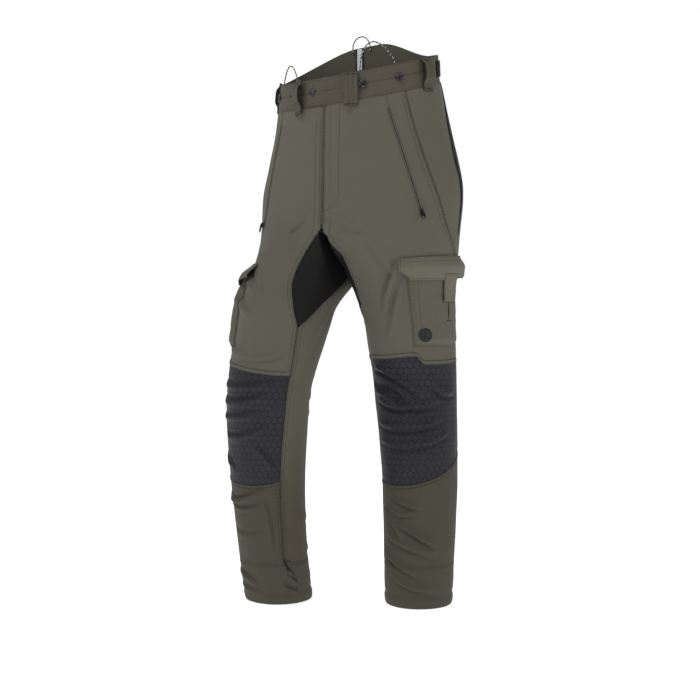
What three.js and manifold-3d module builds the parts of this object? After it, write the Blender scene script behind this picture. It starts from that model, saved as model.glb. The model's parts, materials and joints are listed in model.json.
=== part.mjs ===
// Protective work trousers with cut-resistant pads, standing as if worn, one foot forward.
// Millimetres, +Z up, -Y is the front and +X is the wearer's left.
// The origin is the centre of the waist seam.  Heights in this file are above the hems
// until the last line of the model drops the whole group to that origin.

import * as THREE from 'three';
import { mergeVertices } from 'three/addons/utils/BufferGeometryUtils.js';
import Module from 'manifold-3d';

const wasm = await Module();
wasm.setup();

// ---------------------------------------------------------------- driving dimensions
const WAIST_HEIGHT = 1059;        // waist seam at the sides
const CROTCH_HEIGHT = 742;        // fork of the legs, which is the inside leg length
const KNEE_HEIGHT = 450;          // where the knee bends
const WAIST_TILT = 0.34;          // rise of the waist seam per mm toward the back
const WAIST_HALF_WIDTH = 189;
const HIP_HALF_WIDTH = 240;
const BELLY_DEPTH = 122;          // waist centre to the front
const SEAT_DEPTH = 185;           // waist centre to the fullest point behind
const THIGH_RADIUS = 106;
const KNEE_RADIUS = 86;
const HEM_RADIUS = 69;
const STRIDE = 137;               // how far the right knee is in front of the waist centre

const CLOTH = 2.4;                // outer fabric with its lining
const SEAM_GAP = 0.6;             // clearance at a level seam
const SEAM_ANGLE = 0.2;           // half the clearance at an upright seam, degrees
const LIFT = 1.4;                 // clearance of a patch sewn on the curved outside
const BAND_LIFT = 0.9;            // clearance of what lies on the waistband
const LINING_DEPTH = CLOTH + 2;   // where the inner layers begin
const ARCH_RADIUS = 8;            // half the space between the thighs at the fork

const BAND_HEIGHT = 57;
const BAND_THICKNESS = 3;
const BACK_RISE = 46;             // extra height of the waistband behind
const BACK_CENTRE = -157;         // body angle of its highest point
const BAND_JOIN = 100;            // body angle of the joins of front and back waistband
const TAB_END = -21;              // body angle of the free end of the overlap tab
const SNAP_ANGLE = -11.8;
const SNAP_RADIUS = 8;
const LOOP_WIDTH = 30;
const LOOP_BELOW = 12;            // a belt loop reaches this far below the waist seam
const LOOP_SPACE = 8;             // room for a belt behind a loop
const BUTTON_RADIUS = 8.5;
const BUTTON_THICKNESS = 4;
const CORD_DIAMETER = 2.6;
const ADJUSTER_HEIGHT = 34;
const ADJUSTER_ENDS = [95, 139];  // free end and sewn end, body angles
const TAPE_SIZE = [18, 48];

const HEM_BAND_HEIGHT = 88;
const KNEE_PANEL_RISE = 58;       // knee panel above the knee
const KNEE_PANEL_DROP = 204;      // knee panel below the knee at its lowest point
const KNEE_WEDGE = 0.6;           // slope of the cut that lets the knee bend
const KNEE_AXIS_BACK = 20;        // knee axis behind the leg's axis
const PAD_THICKNESS = 5;
const PAD_TOP = 95;               // top of the pad below the waist seam
const SIDE_INSERT_THICKNESS = 1.2;

const POCKET_ANGLES = [34, 106];  // cargo pocket, degrees about the leg's axis
const POCKET_BOTTOM = KNEE_HEIGHT + 88;
const POCKET_DEPTH = 13;
const POCKET_WALL = 1.6;
const POCKET_MOUTH = 27;          // pocket mouth below the flap's seam
const FLAP_ANGLES = [26, 112];
const FLAP_TOP = [CROTCH_HEIGHT - 40, CROTCH_HEIGHT - 27];  // flap seam at its front and back end
const FLAP_DROP = 47;
const FLAP_THICKNESS = 1.8;
const FLAP_HINGE_ANGLE = 68;
const TAB_ANGLES = [71, 90];      // pull tab on the flap
const TAB_DROP = 92;

const ZIP_TOP = [WAIST_HEIGHT - 59, 24];      // hand pocket zip: height and angle of each end
const ZIP_BOTTOM = [CROTCH_HEIGHT + 43, 52];
const ZIP_WIDTH = 7;
const ZIP_THICKNESS = 1.6;
const ZIP_GAP = 0.3;
const SLIDER_SIZE = [9, 3, 12];
const PULLER_LENGTH = 26;
const PULLER_RADIUS = 5;
const PULLER_THICKNESS = 1.6;
const BAG_ANGLES = [26, 60];
const BAG_HEIGHTS = [CROTCH_HEIGHT + 40, WAIST_HEIGHT - 99];
const BAG_THICKNESS = 1.6;

const FLY_BOTTOM = CROTCH_HEIGHT + 58;
const FLY_TOP = WAIST_HEIGHT - 59;
const FLY_DEPTH = 3.2;             // zip teeth behind the outside of the cloth
const FLY_FACING_WIDTH = 38;
const FLY_SHIELD_WIDTH = 40;

// ---------------------------------------------------------------- finishes
const finish = (color, roughness, metalness = 0) =>
  new THREE.MeshStandardMaterial({ color, roughness, metalness });
const OLIVE = finish(0x5d5b50, 0.85);
const DARK_OLIVE = finish(0x48463d, 0.9);
const BLACK_STRETCH = finish(0x18191d, 0.9);
const KNEE_CLOTH = finish(0x2a292c, 0.85);
const BLACK_PLASTIC = finish(0x111113, 0.4);
const ZIP_TAPE = finish(0x1c1c1e, 0.7);
const CORD = finish(0x6a6a6c, 0.7);
const PAD_FILL = finish(0xd8d4c4, 0.95);
const LABEL_TAPE = finish(0xe2e2de, 0.8);

// ---------------------------------------------------------------- arithmetic
const radians = THREE.MathUtils.degToRad;
const degrees = THREE.MathUtils.radToDeg;
const mix = (a, b, t) => a + (b - a) * t;
const clamp = (x, low, high) => Math.min(high, Math.max(low, x));

function smooth(a, b, x) {
  const t = clamp((x - a) / (b - a), 0, 1);
  return t * t * (3 - 2 * t);
}

function smoothLeast(a, b, reach) {
  if (reach < 1e-3) return Math.min(a, b);
  const h = clamp(0.5 + 0.5 * (b - a) / reach, 0, 1);
  return mix(b, a, h) - reach * h * (1 - h);
}

// The value at x of a smooth curve through rows of [x, value, value, ...].
function along(rows, x) {
  const last = rows.length - 1;
  const h = clamp(x, rows[0][0], rows[last][0]);
  let i = 0;
  while (i < last - 1 && h > rows[i + 1][0]) i++;
  const slope = (j, k) => {
    const a = rows[Math.max(j - 1, 0)];
    const b = rows[Math.min(j + 1, last)];
    return (b[k] - a[k]) / (b[0] - a[0]);
  };
  const span = rows[i + 1][0] - rows[i][0];
  const t = (h - rows[i][0]) / span;
  const s = 1 - t;
  return rows[i].slice(1).map((value, index) => {
    const k = index + 1;
    return value * s * s * (1 + 2 * t) + rows[i + 1][k] * t * t * (1 + 2 * s)
      + span * t * s * (slope(i, k) * s - slope(i + 1, k) * t);
  });
}

// Landmarks are 0 at the hem, 1 at the knee, 2 at the fork and 3 at the waist seam.
// Above the waist they go up by a fixed amount, as the waistband does.
const ABOVE_WAIST = 317;
const LANDMARKS = [0, KNEE_HEIGHT, CROTCH_HEIGHT, WAIST_HEIGHT, WAIST_HEIGHT + ABOVE_WAIST];

function level(landmark) {
  const i = clamp(Math.floor(landmark), 0, 3);
  return mix(LANDMARKS[i], LANDMARKS[i + 1], landmark - i);
}

const table = (rows) => rows.map(([landmark, ...values]) => [level(landmark), ...values]);

// ---------------------------------------------------------------- the body's surface
// Landmark, half width, depth in front, depth behind.
const BODY = table([
  [2.0, HIP_HALF_WIDTH, BELLY_DEPTH + 8, SEAT_DEPTH - 37],
  [2.35, HIP_HALF_WIDTH - 2, BELLY_DEPTH + 4, SEAT_DEPTH - 20],
  [2.565, WAIST_HALF_WIDTH + 30, BELLY_DEPTH + 3, SEAT_DEPTH],
  [2.776, WAIST_HALF_WIDTH + 12, BELLY_DEPTH, SEAT_DEPTH - 13],
  [2.987, WAIST_HALF_WIDTH, BELLY_DEPTH, SEAT_DEPTH - 37],
  [3.09, WAIST_HALF_WIDTH - 5, BELLY_DEPTH, SEAT_DEPTH - 51],
  [3.445, WAIST_HALF_WIDTH - 9, BELLY_DEPTH, SEAT_DEPTH - 62],
]);

// Landmark, x, y, half width, half depth.  The right leg's x is mirrored.
const LEGS = {
  [1]: table([
    [0, 130, 34, HEM_RADIUS, HEM_RADIUS],
    [0.244, 131, 36, mix(HEM_RADIUS, KNEE_RADIUS, 0.24), mix(HEM_RADIUS, KNEE_RADIUS, 0.24)],
    [0.556, 131, 38, mix(HEM_RADIUS, KNEE_RADIUS, 0.53), mix(HEM_RADIUS, KNEE_RADIUS, 0.53)],
    [1, 119, 39, KNEE_RADIUS, KNEE_RADIUS],
    [1.377, 112, 32, KNEE_RADIUS + 7, KNEE_RADIUS + 7],
    [1.65, 108, 22, THIGH_RADIUS - 7, THIGH_RADIUS - 6],
    [2, 110, 8, THIGH_RADIUS, THIGH_RADIUS + 6],
    [2.404, 106, 0, THIGH_RADIUS + 6, THIGH_RADIUS + 12],
    [3, 92, 0, THIGH_RADIUS + 6, THIGH_RADIUS + 12],
    [3.445, 88, 0, THIGH_RADIUS + 6, THIGH_RADIUS + 12],
  ]),
  [-1]: table([
    [0, 133, 37 - STRIDE, HEM_RADIUS + 1, HEM_RADIUS + 1],
    [0.244, 135, 19 - STRIDE, HEM_RADIUS + 3, HEM_RADIUS + 3],
    [0.556, 135, 4 - STRIDE, mix(HEM_RADIUS, KNEE_RADIUS, 0.5), mix(HEM_RADIUS, KNEE_RADIUS, 0.5)],
    [0.844, 131, -3 - STRIDE, KNEE_RADIUS - 1, KNEE_RADIUS - 1],
    [1, 127, -STRIDE, KNEE_RADIUS + 2, KNEE_RADIUS + 2],
    [1.377, 118, 27 - STRIDE, KNEE_RADIUS + 12, KNEE_RADIUS + 12],
    [1.65, 112, 49 - STRIDE, THIGH_RADIUS - 1, THIGH_RADIUS - 1],
    [2, 111, 92 - STRIDE, THIGH_RADIUS + 6, THIGH_RADIUS + 9],
    [2.404, 106, -8, THIGH_RADIUS + 6, THIGH_RADIUS + 12],
    [3, 92, 0, THIGH_RADIUS + 6, THIGH_RADIUS + 12],
    [3.445, 88, 0, THIGH_RADIUS + 6, THIGH_RADIUS + 12],
  ]),
};

// How far the body's outline is from a point inside it, in the direction dx, dy.
function bodyReach(x, y, dx, dy, height) {
  const [width, front, back] = along(BODY, height);
  const hit = (depth) => {
    const a = (dx / width) ** 2 + (dy / depth) ** 2;
    const b = x * dx / width ** 2 + y * dy / depth ** 2;
    const c = (x / width) ** 2 + (y / depth) ** 2 - 1;
    return (-b + Math.sqrt(b * b - a * c)) / a;
  };
  const inFront = hit(front);
  return y + inFront * dy <= 0 ? inFront : hit(back);
}

// The fork's height where it crosses the middle of the body, rising to front and back.
const [, FORK_FRONT, FORK_BACK] = along(BODY, CROTCH_HEIGHT);
const GUSSET_RISE_FRONT = 25;
const GUSSET_RISE_BACK = 45;

function forkHeight(y) {
  const [depth, rise] = y < 0 ? [FORK_FRONT, GUSSET_RISE_FRONT] : [FORK_BACK, GUSSET_RISE_BACK];
  return CROTCH_HEIGHT + rise * clamp(Math.abs(y) / depth, 0, 1) ** 2;
}

// A point of the cloth.  The angle is about the leg's axis, 0 in front and growing outward;
// depth is measured inward from the outside of the cloth.
function skin(side, angle, height, depth = 0) {
  const [x, y, halfWidth, halfDepth] = along(LEGS[side], height);
  const dx = Math.sin(radians(angle));
  const dy = -Math.cos(radians(angle));
  const legReach = 1 / Math.hypot(dx / halfWidth, dy / halfDepth);
  const fork = forkHeight(dx < 0 ? y - x * dy / dx : Math.sign(dy) * FORK_BACK);
  const bodily = Math.max(
    smooth(level(1.51), level(2.4), height),
    smooth(0.1, -0.55, dx) * smooth(fork - 90, fork, height),
  );
  let reach = legReach;
  if (bodily > 0) reach = mix(legReach, bodyReach(x, y, dx, dy, height), bodily);
  if (dx < 0) {
    const below = clamp(fork - height, 0, ARCH_RADIUS);
    const parting = Math.sqrt(2 * ARCH_RADIUS * below - below * below);
    const plane = (x - parting) / -dx;
    reach = smoothLeast(reach, plane, 30 * clamp((fork - height) / 60, 0, 1));
  }
  reach -= depth;
  return new THREE.Vector3(side * (x + reach * dx), y + reach * dy, height);
}

// A point of the waistband at a body angle, 0 in front and growing to the wearer's left,
// at a distance up from the waist seam.
function belt(angle, up, depth = 0) {
  const dx = Math.sin(radians(angle));
  const dy = -Math.cos(radians(angle));
  let height = WAIST_HEIGHT + up;
  let reach = 0;
  for (let k = 0; k < 12; k++) {
    reach = bodyReach(0, 0, dx, dy, height);
    height = WAIST_HEIGHT + WAIST_TILT * reach * dy + up;
  }
  reach -= depth;
  return new THREE.Vector3(reach * dx, reach * dy, height);
}

// ---------------------------------------------------------------- seams
function centreAngle(side, height, behind) {
  const [x, y] = along(LEGS[side], height);
  const [, front, back] = along(BODY, height);
  return behind ? 180 + degrees(Math.atan2(x, back - y)) : -degrees(Math.atan2(x, front + y));
}

const GUSSET_TOP_FRONT = CROTCH_HEIGHT + GUSSET_RISE_FRONT;
const GUSSET_TOP_BACK = CROTCH_HEIGHT + GUSSET_RISE_BACK;
const GUSSET_TIP = level(1.42);
const GUSSET_ANGLE = 0.4;         // its curved edges keep a little more clearance
const ROW_HEIGHT = 39.4;
const PANEL_ROWS = Math.round((WAIST_HEIGHT - KNEE_HEIGHT - KNEE_PANEL_RISE) / ROW_HEIGHT);

const INSEAM = table([[0, -57], [0.556, -58], [1, -64], [1.404, -57]]);
const GUSSET_START = level(1.404);

// Inner edge of the front pieces: the inseam, then the gusset, then the centre of the body.
function frontSeam(side, height) {
  if (height >= GUSSET_TOP_FRONT) return centreAngle(side, height, false);
  if (height <= GUSSET_START) return along(INSEAM, height)[0];
  const rows = table([[1.404, -57], [1.548, -46], [1.753, -38]]);
  rows.push([GUSSET_TOP_FRONT, centreAngle(side, GUSSET_TOP_FRONT, false)]);
  return along(rows, height)[0];
}

// Inner edge of the back pieces, going on round the leg past 180 degrees.
function backSeam(side, height) {
  if (height >= GUSSET_TOP_BACK) return centreAngle(side, height, true);
  if (height <= GUSSET_START) return 360 + along(INSEAM, height)[0];
  const rows = table([[1.404, 303], [1.572, 274], [1.668, 258], [1.856, 232]]);
  rows.push([GUSSET_TOP_BACK, centreAngle(side, GUSSET_TOP_BACK, true)]);
  return along(rows, height)[0];
}

const SIDE_SEAM = table([[0, 118], [1.65, 115], [1.873, 99], [2.12, 75], [2.909, 46]]);
const sideSeam = (side, height) => along(SIDE_SEAM, height)[0];

function waistEdge(side, angle) {
  let height = WAIST_HEIGHT;
  for (let k = 0; k < 12; k++) height = WAIST_HEIGHT + WAIST_TILT * skin(side, angle, height).y;
  return height - SEAM_GAP / 2;
}

const KNEE_SLANT = { [1]: 0, [-1]: 14 };
const kneePanelTop = (side, angle) =>
  KNEE_HEIGHT + KNEE_PANEL_RISE - KNEE_SLANT[side] * smooth(110, -60, angle);
const kneePanelBottom = (side, angle) =>
  KNEE_HEIGHT - KNEE_PANEL_DROP + 74 * ((angle + 10) / 135) ** 2;

function kneeAxis(side) {
  const [x, y] = along(LEGS[side], KNEE_HEIGHT);
  return new THREE.Vector3(side * x, y + KNEE_AXIS_BACK, KNEE_HEIGHT);
}

// The two edges at the knee: behind its axis they part, so that the shin can swing back.
const behindKnee = (side, angle) =>
  KNEE_WEDGE * Math.max(0, skin(side, angle, KNEE_HEIGHT).y - kneeAxis(side).y);
const aboveKnee = (side, angle) => KNEE_HEIGHT + behindKnee(side, angle);
const belowKnee = (side, angle) => KNEE_HEIGHT - SEAM_GAP - behindKnee(side, angle);

// ---------------------------------------------------------------- solids
function closed(positions, indices) {
  const geometry = new THREE.BufferGeometry();
  geometry.setAttribute('position', new THREE.Float32BufferAttribute(positions, 3));
  geometry.setIndex(indices);
  return geometry;
}

// A curved sheet with two faces: at(u, v, layer) is its outer face at layer 0 and its
// inner face at layer 1.  A ring closes on itself in u.
function sheet(columns, rows, at, { ring = false, mirrored = false } = {}) {
  const wide = ring ? columns : columns + 1;
  const positions = [];
  const indices = [];
  for (const layer of [0, 1])
    for (let j = 0; j <= rows; j++)
      for (let i = 0; i < wide; i++) positions.push(...at(i / columns, j / rows, layer).toArray());
  const id = (layer, i, j) => (layer * (rows + 1) + j) * wide + (i % wide);
  const quad = (a, b, c, d) => indices.push(...(mirrored ? [a, c, b, a, d, c] : [a, b, c, a, c, d]));
  for (let i = 0; i < columns; i++) {
    for (let j = 0; j < rows; j++) {
      quad(id(0, i, j), id(0, i + 1, j), id(0, i + 1, j + 1), id(0, i, j + 1));
      quad(id(1, i, j), id(1, i, j + 1), id(1, i + 1, j + 1), id(1, i + 1, j));
    }
    quad(id(0, i, 0), id(1, i, 0), id(1, i + 1, 0), id(0, i + 1, 0));
    quad(id(0, i, rows), id(0, i + 1, rows), id(1, i + 1, rows), id(1, i, rows));
  }
  for (let j = 0; j < rows && !ring; j++) {
    quad(id(0, 0, j), id(0, 0, j + 1), id(1, 0, j + 1), id(1, 0, j));
    quad(id(0, columns, j), id(1, columns, j), id(1, columns, j + 1), id(0, columns, j + 1));
  }
  return closed(positions, indices);
}

// A piece of cloth between two upright seams.  Its level edges go from the bottom up, with
// a number of rows between each two of them.
function panel(side, { from, to, edges, columns, rows, depth = [0, CLOTH] }) {
  const rule = (value, x) => (typeof value === 'function' ? value(side, x) : value);
  const total = rows.reduce((sum, count) => sum + count, 0);
  const heightAt = (angle, row) => {
    let k = 0;
    let start = 0;
    while (row > start + rows[k]) start += rows[k++];
    return mix(rule(edges[k], angle), rule(edges[k + 1], angle), (row - start) / rows[k]);
  };
  const at = (u, v, layer) => {
    const row = Math.round(v * total);
    let angle = 0;
    let height = heightAt(angle, row);
    for (let k = 0; k < 10; k++) {
      angle = mix(rule(from, height) + SEAM_ANGLE, rule(to, height) - SEAM_ANGLE, u);
      height = heightAt(angle, row);
    }
    const inward = depth[layer];
    return skin(side, angle, height, typeof inward === 'function' ? inward(height) : inward);
  };
  return sheet(columns, total, at, { mirrored: side < 0 });
}

function solid(geometry) {
  const bare = geometry.clone();
  bare.deleteAttribute('normal');
  bare.deleteAttribute('uv');
  const merged = mergeVertices(bare, 1e-4);
  return new wasm.Manifold(new wasm.Mesh({
    numProp: 3,
    vertProperties: new Float32Array(merged.attributes.position.array),
    triVerts: new Uint32Array(merged.index.array),
  }));
}

function shape(manifold) {
  const { vertProperties, triVerts } = manifold.getMesh();
  return closed(Array.from(vertProperties), Array.from(triVerts));
}

// An outline of [x, y] pairs pushed along +Z by a length, centred on the outline's plane.
function prism(outline, length) {
  const geometry = new THREE.ExtrudeGeometry(
    new THREE.Shape(outline.map(([x, y]) => new THREE.Vector2(x, y))),
    { depth: length, bevelEnabled: false, steps: 1 },
  );
  return geometry.translate(0, 0, -length / 2);
}

const trousers = new THREE.Group();

function piece(name, geometry, material, parent = trousers) {
  const mesh = new THREE.Mesh(geometry, material);
  mesh.name = name;
  parent.add(mesh);
  return mesh;
}

// A group on a surface: its -Y points out of the cloth and its +Z runs up it.
function seat(surface, a, b, side = 1) {
  const here = surface(a, b);
  const across = surface(a + 0.5, b).sub(surface(a - 0.5, b));
  const up = surface(a, b + 0.5).sub(surface(a, b - 0.5)).normalize();
  const inward = up.clone().cross(across).multiplyScalar(side).normalize();
  return place(here, inward, up);
}

function place(here, inward, up) {
  const group = new THREE.Group();
  const straight = inward.clone().addScaledVector(up, -inward.dot(up)).normalize();
  const basis = new THREE.Matrix4().makeBasis(straight.clone().cross(up), straight, up);
  group.position.copy(here);
  group.quaternion.setFromRotationMatrix(basis);
  group.updateMatrix();
  trousers.add(group);
  return group;
}

// Puts a solid made in the trousers' own space into a group that it swings or slides with.
function mounted(name, geometry, material, group) {
  geometry.applyMatrix4(group.matrix.clone().invert());
  return piece(name, geometry, material, group);
}

// How far a surface stands out of the plane of a seat, at sample points of it.
function bulge(group, points) {
  const toSeat = group.matrix.clone().invert();
  return Math.max(...points.map((point) => -point.clone().applyMatrix4(toSeat).y));
}

const SIDES = [['left', 1], ['right', -1]];

// ---------------------------------------------------------------- legs and seat
const aboveKneePanel = (side, angle) => kneePanelTop(side, angle) + SEAM_GAP / 2;
const insideKneePanelTop = (side, angle) => kneePanelTop(side, angle) - SEAM_GAP / 2;
const insideKneePanelBottom = (side, angle) => kneePanelBottom(side, angle) + SEAM_GAP / 2;
const belowKneePanel = (side, angle) => kneePanelBottom(side, angle) - SEAM_GAP / 2;

for (const [name, side] of SIDES) {
  const front = { from: frontSeam, to: sideSeam, columns: 10 };
  const back = { from: sideSeam, to: backSeam };
  piece(`front_panel_${name}`,
    panel(side, { ...front, edges: [aboveKneePanel, waistEdge], rows: [PANEL_ROWS] }), OLIVE);
  piece(`back_panel_${name}`, panel(side, {
    ...back, edges: [aboveKnee, aboveKneePanel, waistEdge], columns: 12, rows: [2, PANEL_ROWS],
  }), OLIVE);
  piece(`knee_panel_upper_${name}`,
    panel(side, { ...front, edges: [aboveKnee, insideKneePanelTop], rows: [2] }), KNEE_CLOTH);
  piece(`knee_panel_lower_${name}`,
    panel(side, { ...front, edges: [insideKneePanelBottom, belowKnee], rows: [4] }), KNEE_CLOTH);
  piece(`shin_front_${name}`,
    panel(side, { ...front, edges: [HEM_BAND_HEIGHT, belowKneePanel], rows: [4] }), DARK_OLIVE);
  piece(`shin_back_${name}`,
    panel(side, { ...back, edges: [HEM_BAND_HEIGHT, belowKnee], columns: 10, rows: [6] }), DARK_OLIVE);
  piece(`hem_band_${name}`, sheet(24, 1, (u, v, layer) =>
    skin(side, 360 * u, v * (HEM_BAND_HEIGHT - SEAM_GAP), layer * (CLOTH + 0.4)),
  { ring: true, mirrored: side < 0 }), DARK_OLIVE);

  // The stretch insert lies on the back piece and narrows to a point over the thigh.
  const insertFront = table([[2.04, 98], [2.35, 100], [2.565, 101], [3, 121]]);
  const insertBack = table([[2.04, 99.5], [2.35, 106], [2.565, 112], [3, 150]]);
  piece(`side_panel_${name}`, panel(side, {
    from: (s, h) => along(insertFront, h)[0], to: (s, h) => along(insertBack, h)[0],
    edges: [level(2.04), waistEdge], columns: 3, rows: [10],
    depth: [-LIFT - 0.6 - SIDE_INSERT_THICKNESS, -LIFT - 0.6],
  }), BLACK_STRETCH);
}

// The gusset runs from one thigh over the fork to the other.  Up each thigh its columns stand
// at the heights of the rows of the panels beside it, then they go round the arch.
const GUSSET_ARCH = 3;
const GUSSET_CLEAR = 6;           // least spacing of its first and last columns

function panelRow(side, seam, row) {
  let height = CROTCH_HEIGHT;
  for (let k = 0; k < 10; k++) {
    const angle = seam(side, height);
    height = mix(aboveKneePanel(side, angle), waistEdge(side, angle), row / PANEL_ROWS);
  }
  return height;
}

const gussetRows = [];
for (let row = 1; row < PANEL_ROWS; row++) {
  const starts = SIDES.every(([, side]) => panelRow(side, frontSeam, row) > GUSSET_TIP + GUSSET_CLEAR);
  const ends = SIDES.every(([, side]) =>
    panelRow(side, frontSeam, row) < GUSSET_TOP_FRONT - ARCH_RADIUS - GUSSET_CLEAR
    && panelRow(side, backSeam, row) < GUSSET_TOP_BACK - ARCH_RADIUS - GUSSET_CLEAR);
  if (starts && ends) gussetRows.push(row);
}
const GUSSET_STEPS = gussetRows.length + 1 + GUSSET_ARCH;

function gussetPoint(u, v, layer) {
  const side = u < 0.5 ? 1 : -1;
  const step = Math.round((1 - Math.abs(2 * u - 1)) * GUSSET_STEPS);
  const y = mix(-FORK_FRONT + SEAM_GAP, FORK_BACK - SEAM_GAP, v);
  const fork = forkHeight(y);
  const turn = Math.max(0, (step - gussetRows.length - 1) / GUSSET_ARCH) * Math.PI / 2;
  let height = fork - ARCH_RADIUS + ARCH_RADIUS * Math.sin(turn);
  if (step === 0) height = GUSSET_TIP;
  else if (step <= gussetRows.length) {
    const row = gussetRows[step - 1];
    height = mix(panelRow(side, frontSeam, row), panelRow(side, backSeam, row), v);
  }
  const [x, legY] = along(LEGS[side], fork);
  const crossing = degrees(Math.atan2(-x, legY - y));
  const share = (crossing - frontSeam(side, fork)) / (backSeam(side, fork) - 360 - frontSeam(side, fork));
  const angle = mix(frontSeam(side, height) - GUSSET_ANGLE, backSeam(side, height) - 360 + GUSSET_ANGLE,
    clamp(share, 0, 1));
  const outer = skin(side, angle, height);
  if (layer === 0) return outer;
  const lean = Math.sin(turn);
  const inward = skin(side, angle, height, 1).sub(outer);
  inward.x *= 1 - lean;
  inward.z += 1.2 * lean * Math.sin(Math.PI * v);
  return outer.addScaledVector(inward.normalize(), CLOTH);
}

piece('crotch_gusset', sheet(2 * GUSSET_STEPS, 8, gussetPoint), BLACK_STRETCH);

// ---------------------------------------------------------------- waistband
const backRise = (angle) => {
  const away = Math.abs(((angle - BACK_CENTRE + 540) % 360) - 180);
  return BACK_RISE * smooth(78, 12, away);
};
const bandTop = (angle) => BAND_HEIGHT + backRise(angle);

function band(from, to, columns, rows) {
  const at = (u, v, layer) => {
    const angle = mix(from, to, u);
    return belt(angle, mix(SEAM_GAP / 2, bandTop(angle), v), layer * BAND_THICKNESS);
  };
  return sheet(columns, rows, at);
}

piece('waistband_front_left', band(SEAM_ANGLE, BAND_JOIN - SEAM_ANGLE, 16, 2), OLIVE);
piece('waistband_front_right', band(SEAM_ANGLE - BAND_JOIN, -SEAM_ANGLE, 16, 2), OLIVE);
piece('waistband_back', band(BAND_JOIN + SEAM_ANGLE, 360 - BAND_JOIN - SEAM_ANGLE, 24, 4), OLIVE);

// The overlap tab swings open about its outer corner at the front centre.
const TAB_THICKNESS = CLOTH;
const tabPivot = seat((a, up) => belt(a, up, -BAND_LIFT - TAB_THICKNESS), -SEAM_ANGLE, BAND_HEIGHT / 2);
mounted('waist_tab', sheet(5, 2, (u, v, layer) => belt(
  mix(TAB_END, -SEAM_ANGLE, u), mix(3, BAND_HEIGHT - 3, v), -BAND_LIFT - (1 - layer) * TAB_THICKNESS,
)), OLIVE, tabPivot);

const disc = (radius, thickness) =>
  new THREE.CylinderGeometry(radius, radius, thickness, 20).translate(0, -thickness / 2, 0);

const snapSeat = seat(belt, SNAP_ANGLE, BAND_HEIGHT / 2);
piece('waist_snap', disc(SNAP_RADIUS, 2).translate(0, -BAND_LIFT - TAB_THICKNESS - 0.5, 0),
  BLACK_PLASTIC, snapSeat);

// Belt loops: both ends lie on the band and the middle stands off to let a belt through.
const LOOP_THICKNESS = 2.2;
const LOOP_SEAT = 0.45;

function loopOutline() {
  const foot = 13;
  const slant = 9;
  const [low, high] = [-LOOP_BELOW, BAND_HEIGHT - 1];
  const inner = [[0, low], [0, low + foot], [LOOP_SPACE, low + foot + slant],
    [LOOP_SPACE, high - foot - slant + 6], [0, high - foot + 6], [0, high]];
  const outer = inner.map(([d, h], i) =>
    [d + LOOP_THICKNESS, h + (i === 1 || i === 2 ? -1 : i === 3 || i === 4 ? 1 : 0)]).reverse();
  return [...inner, ...outer].map(([d, h]) => [-d - LOOP_SEAT, h]);
}

const LOOP_ANGLES = {
  front_left: 29, front_right: -29, side_left: 83, side_right: -83, back_left: 162, back_right: -162,
};
for (const [name, angle] of Object.entries(LOOP_ANGLES)) {
  // The outline is drawn out of the cloth and up, then turned so that its length runs across.
  const geometry = prism(loopOutline(), LOOP_WIDTH);
  geometry.applyMatrix4(new THREE.Matrix4().makeBasis(
    new THREE.Vector3(0, 1, 0), new THREE.Vector3(0, 0, 1), new THREE.Vector3(1, 0, 0),
  ));
  const [low, high] = [belt(angle, -LOOP_BELOW), belt(angle, BAND_HEIGHT)];
  const up = high.clone().sub(low).normalize();
  const inward = new THREE.Vector3(-Math.sin(radians(angle)), Math.cos(radians(angle)), 0);
  const loop = place(belt(angle, 0), inward, up);
  const feet = [];
  for (const height of [-LOOP_BELOW - 8, -4, 4, BAND_HEIGHT - 9, BAND_HEIGHT - 4, BAND_HEIGHT])
    for (const turn of [-7, -3.5, 0, 3.5, 7]) feet.push(belt(angle + turn, height));
  geometry.translate(0, -bulge(loop, feet), 0);
  piece(`belt_loop_${name}`, geometry, OLIVE, loop);
}

const BUTTON_ANGLES = {
  front_left: 38.9, front_right: -38.9, side_left: 64.3, side_right: -64.3, back_left: 171,
  back_right: -171,
};
for (const [name, angle] of Object.entries(BUTTON_ANGLES)) {
  const button = seat(belt, angle, BAND_HEIGHT / 2);
  const under = [-8, 0, 8].flatMap((rise) =>
    [-3, 0, 3].map((turn) => belt(angle + turn, BAND_HEIGHT / 2 + rise)));
  piece(`brace_button_${name}`,
    disc(BUTTON_RADIUS, BUTTON_THICKNESS).translate(0, -bulge(button, under) - 0.5, 0),
    BLACK_PLASTIC, button);
}

// The waist adjusters are sewn at their rear ends and peel off forward.
for (const [name, side] of SIDES) {
  const pivot = seat((a, up) => belt(a, up, -BAND_LIFT - CLOTH), side * ADJUSTER_ENDS[1], BAND_HEIGHT / 2);
  mounted(`waist_adjuster_${name}`, sheet(10, 2, (u, v, layer) => belt(
    side * mix(ADJUSTER_ENDS[0], ADJUSTER_ENDS[1], u),
    (BAND_HEIGHT - ADJUSTER_HEIGHT) / 2 + v * ADJUSTER_HEIGHT,
    -BAND_LIFT - (1 - layer) * CLOTH,
  ), { mirrored: side < 0 }), BLACK_STRETCH, pivot);
}

// The hanger tape is sewn inside the back of the band, just below its edge.
const TAPE_ANGLE = -148;
const tapeTop = bandTop(TAPE_ANGLE) - 2;
piece('hanger_tape', new THREE.BoxGeometry(TAPE_SIZE[0], 1, TAPE_SIZE[1])
  .translate(0, BAND_THICKNESS + 1.3, 0), LABEL_TAPE, seat(belt, TAPE_ANGLE, tapeTop - TAPE_SIZE[1] / 2));

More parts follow.
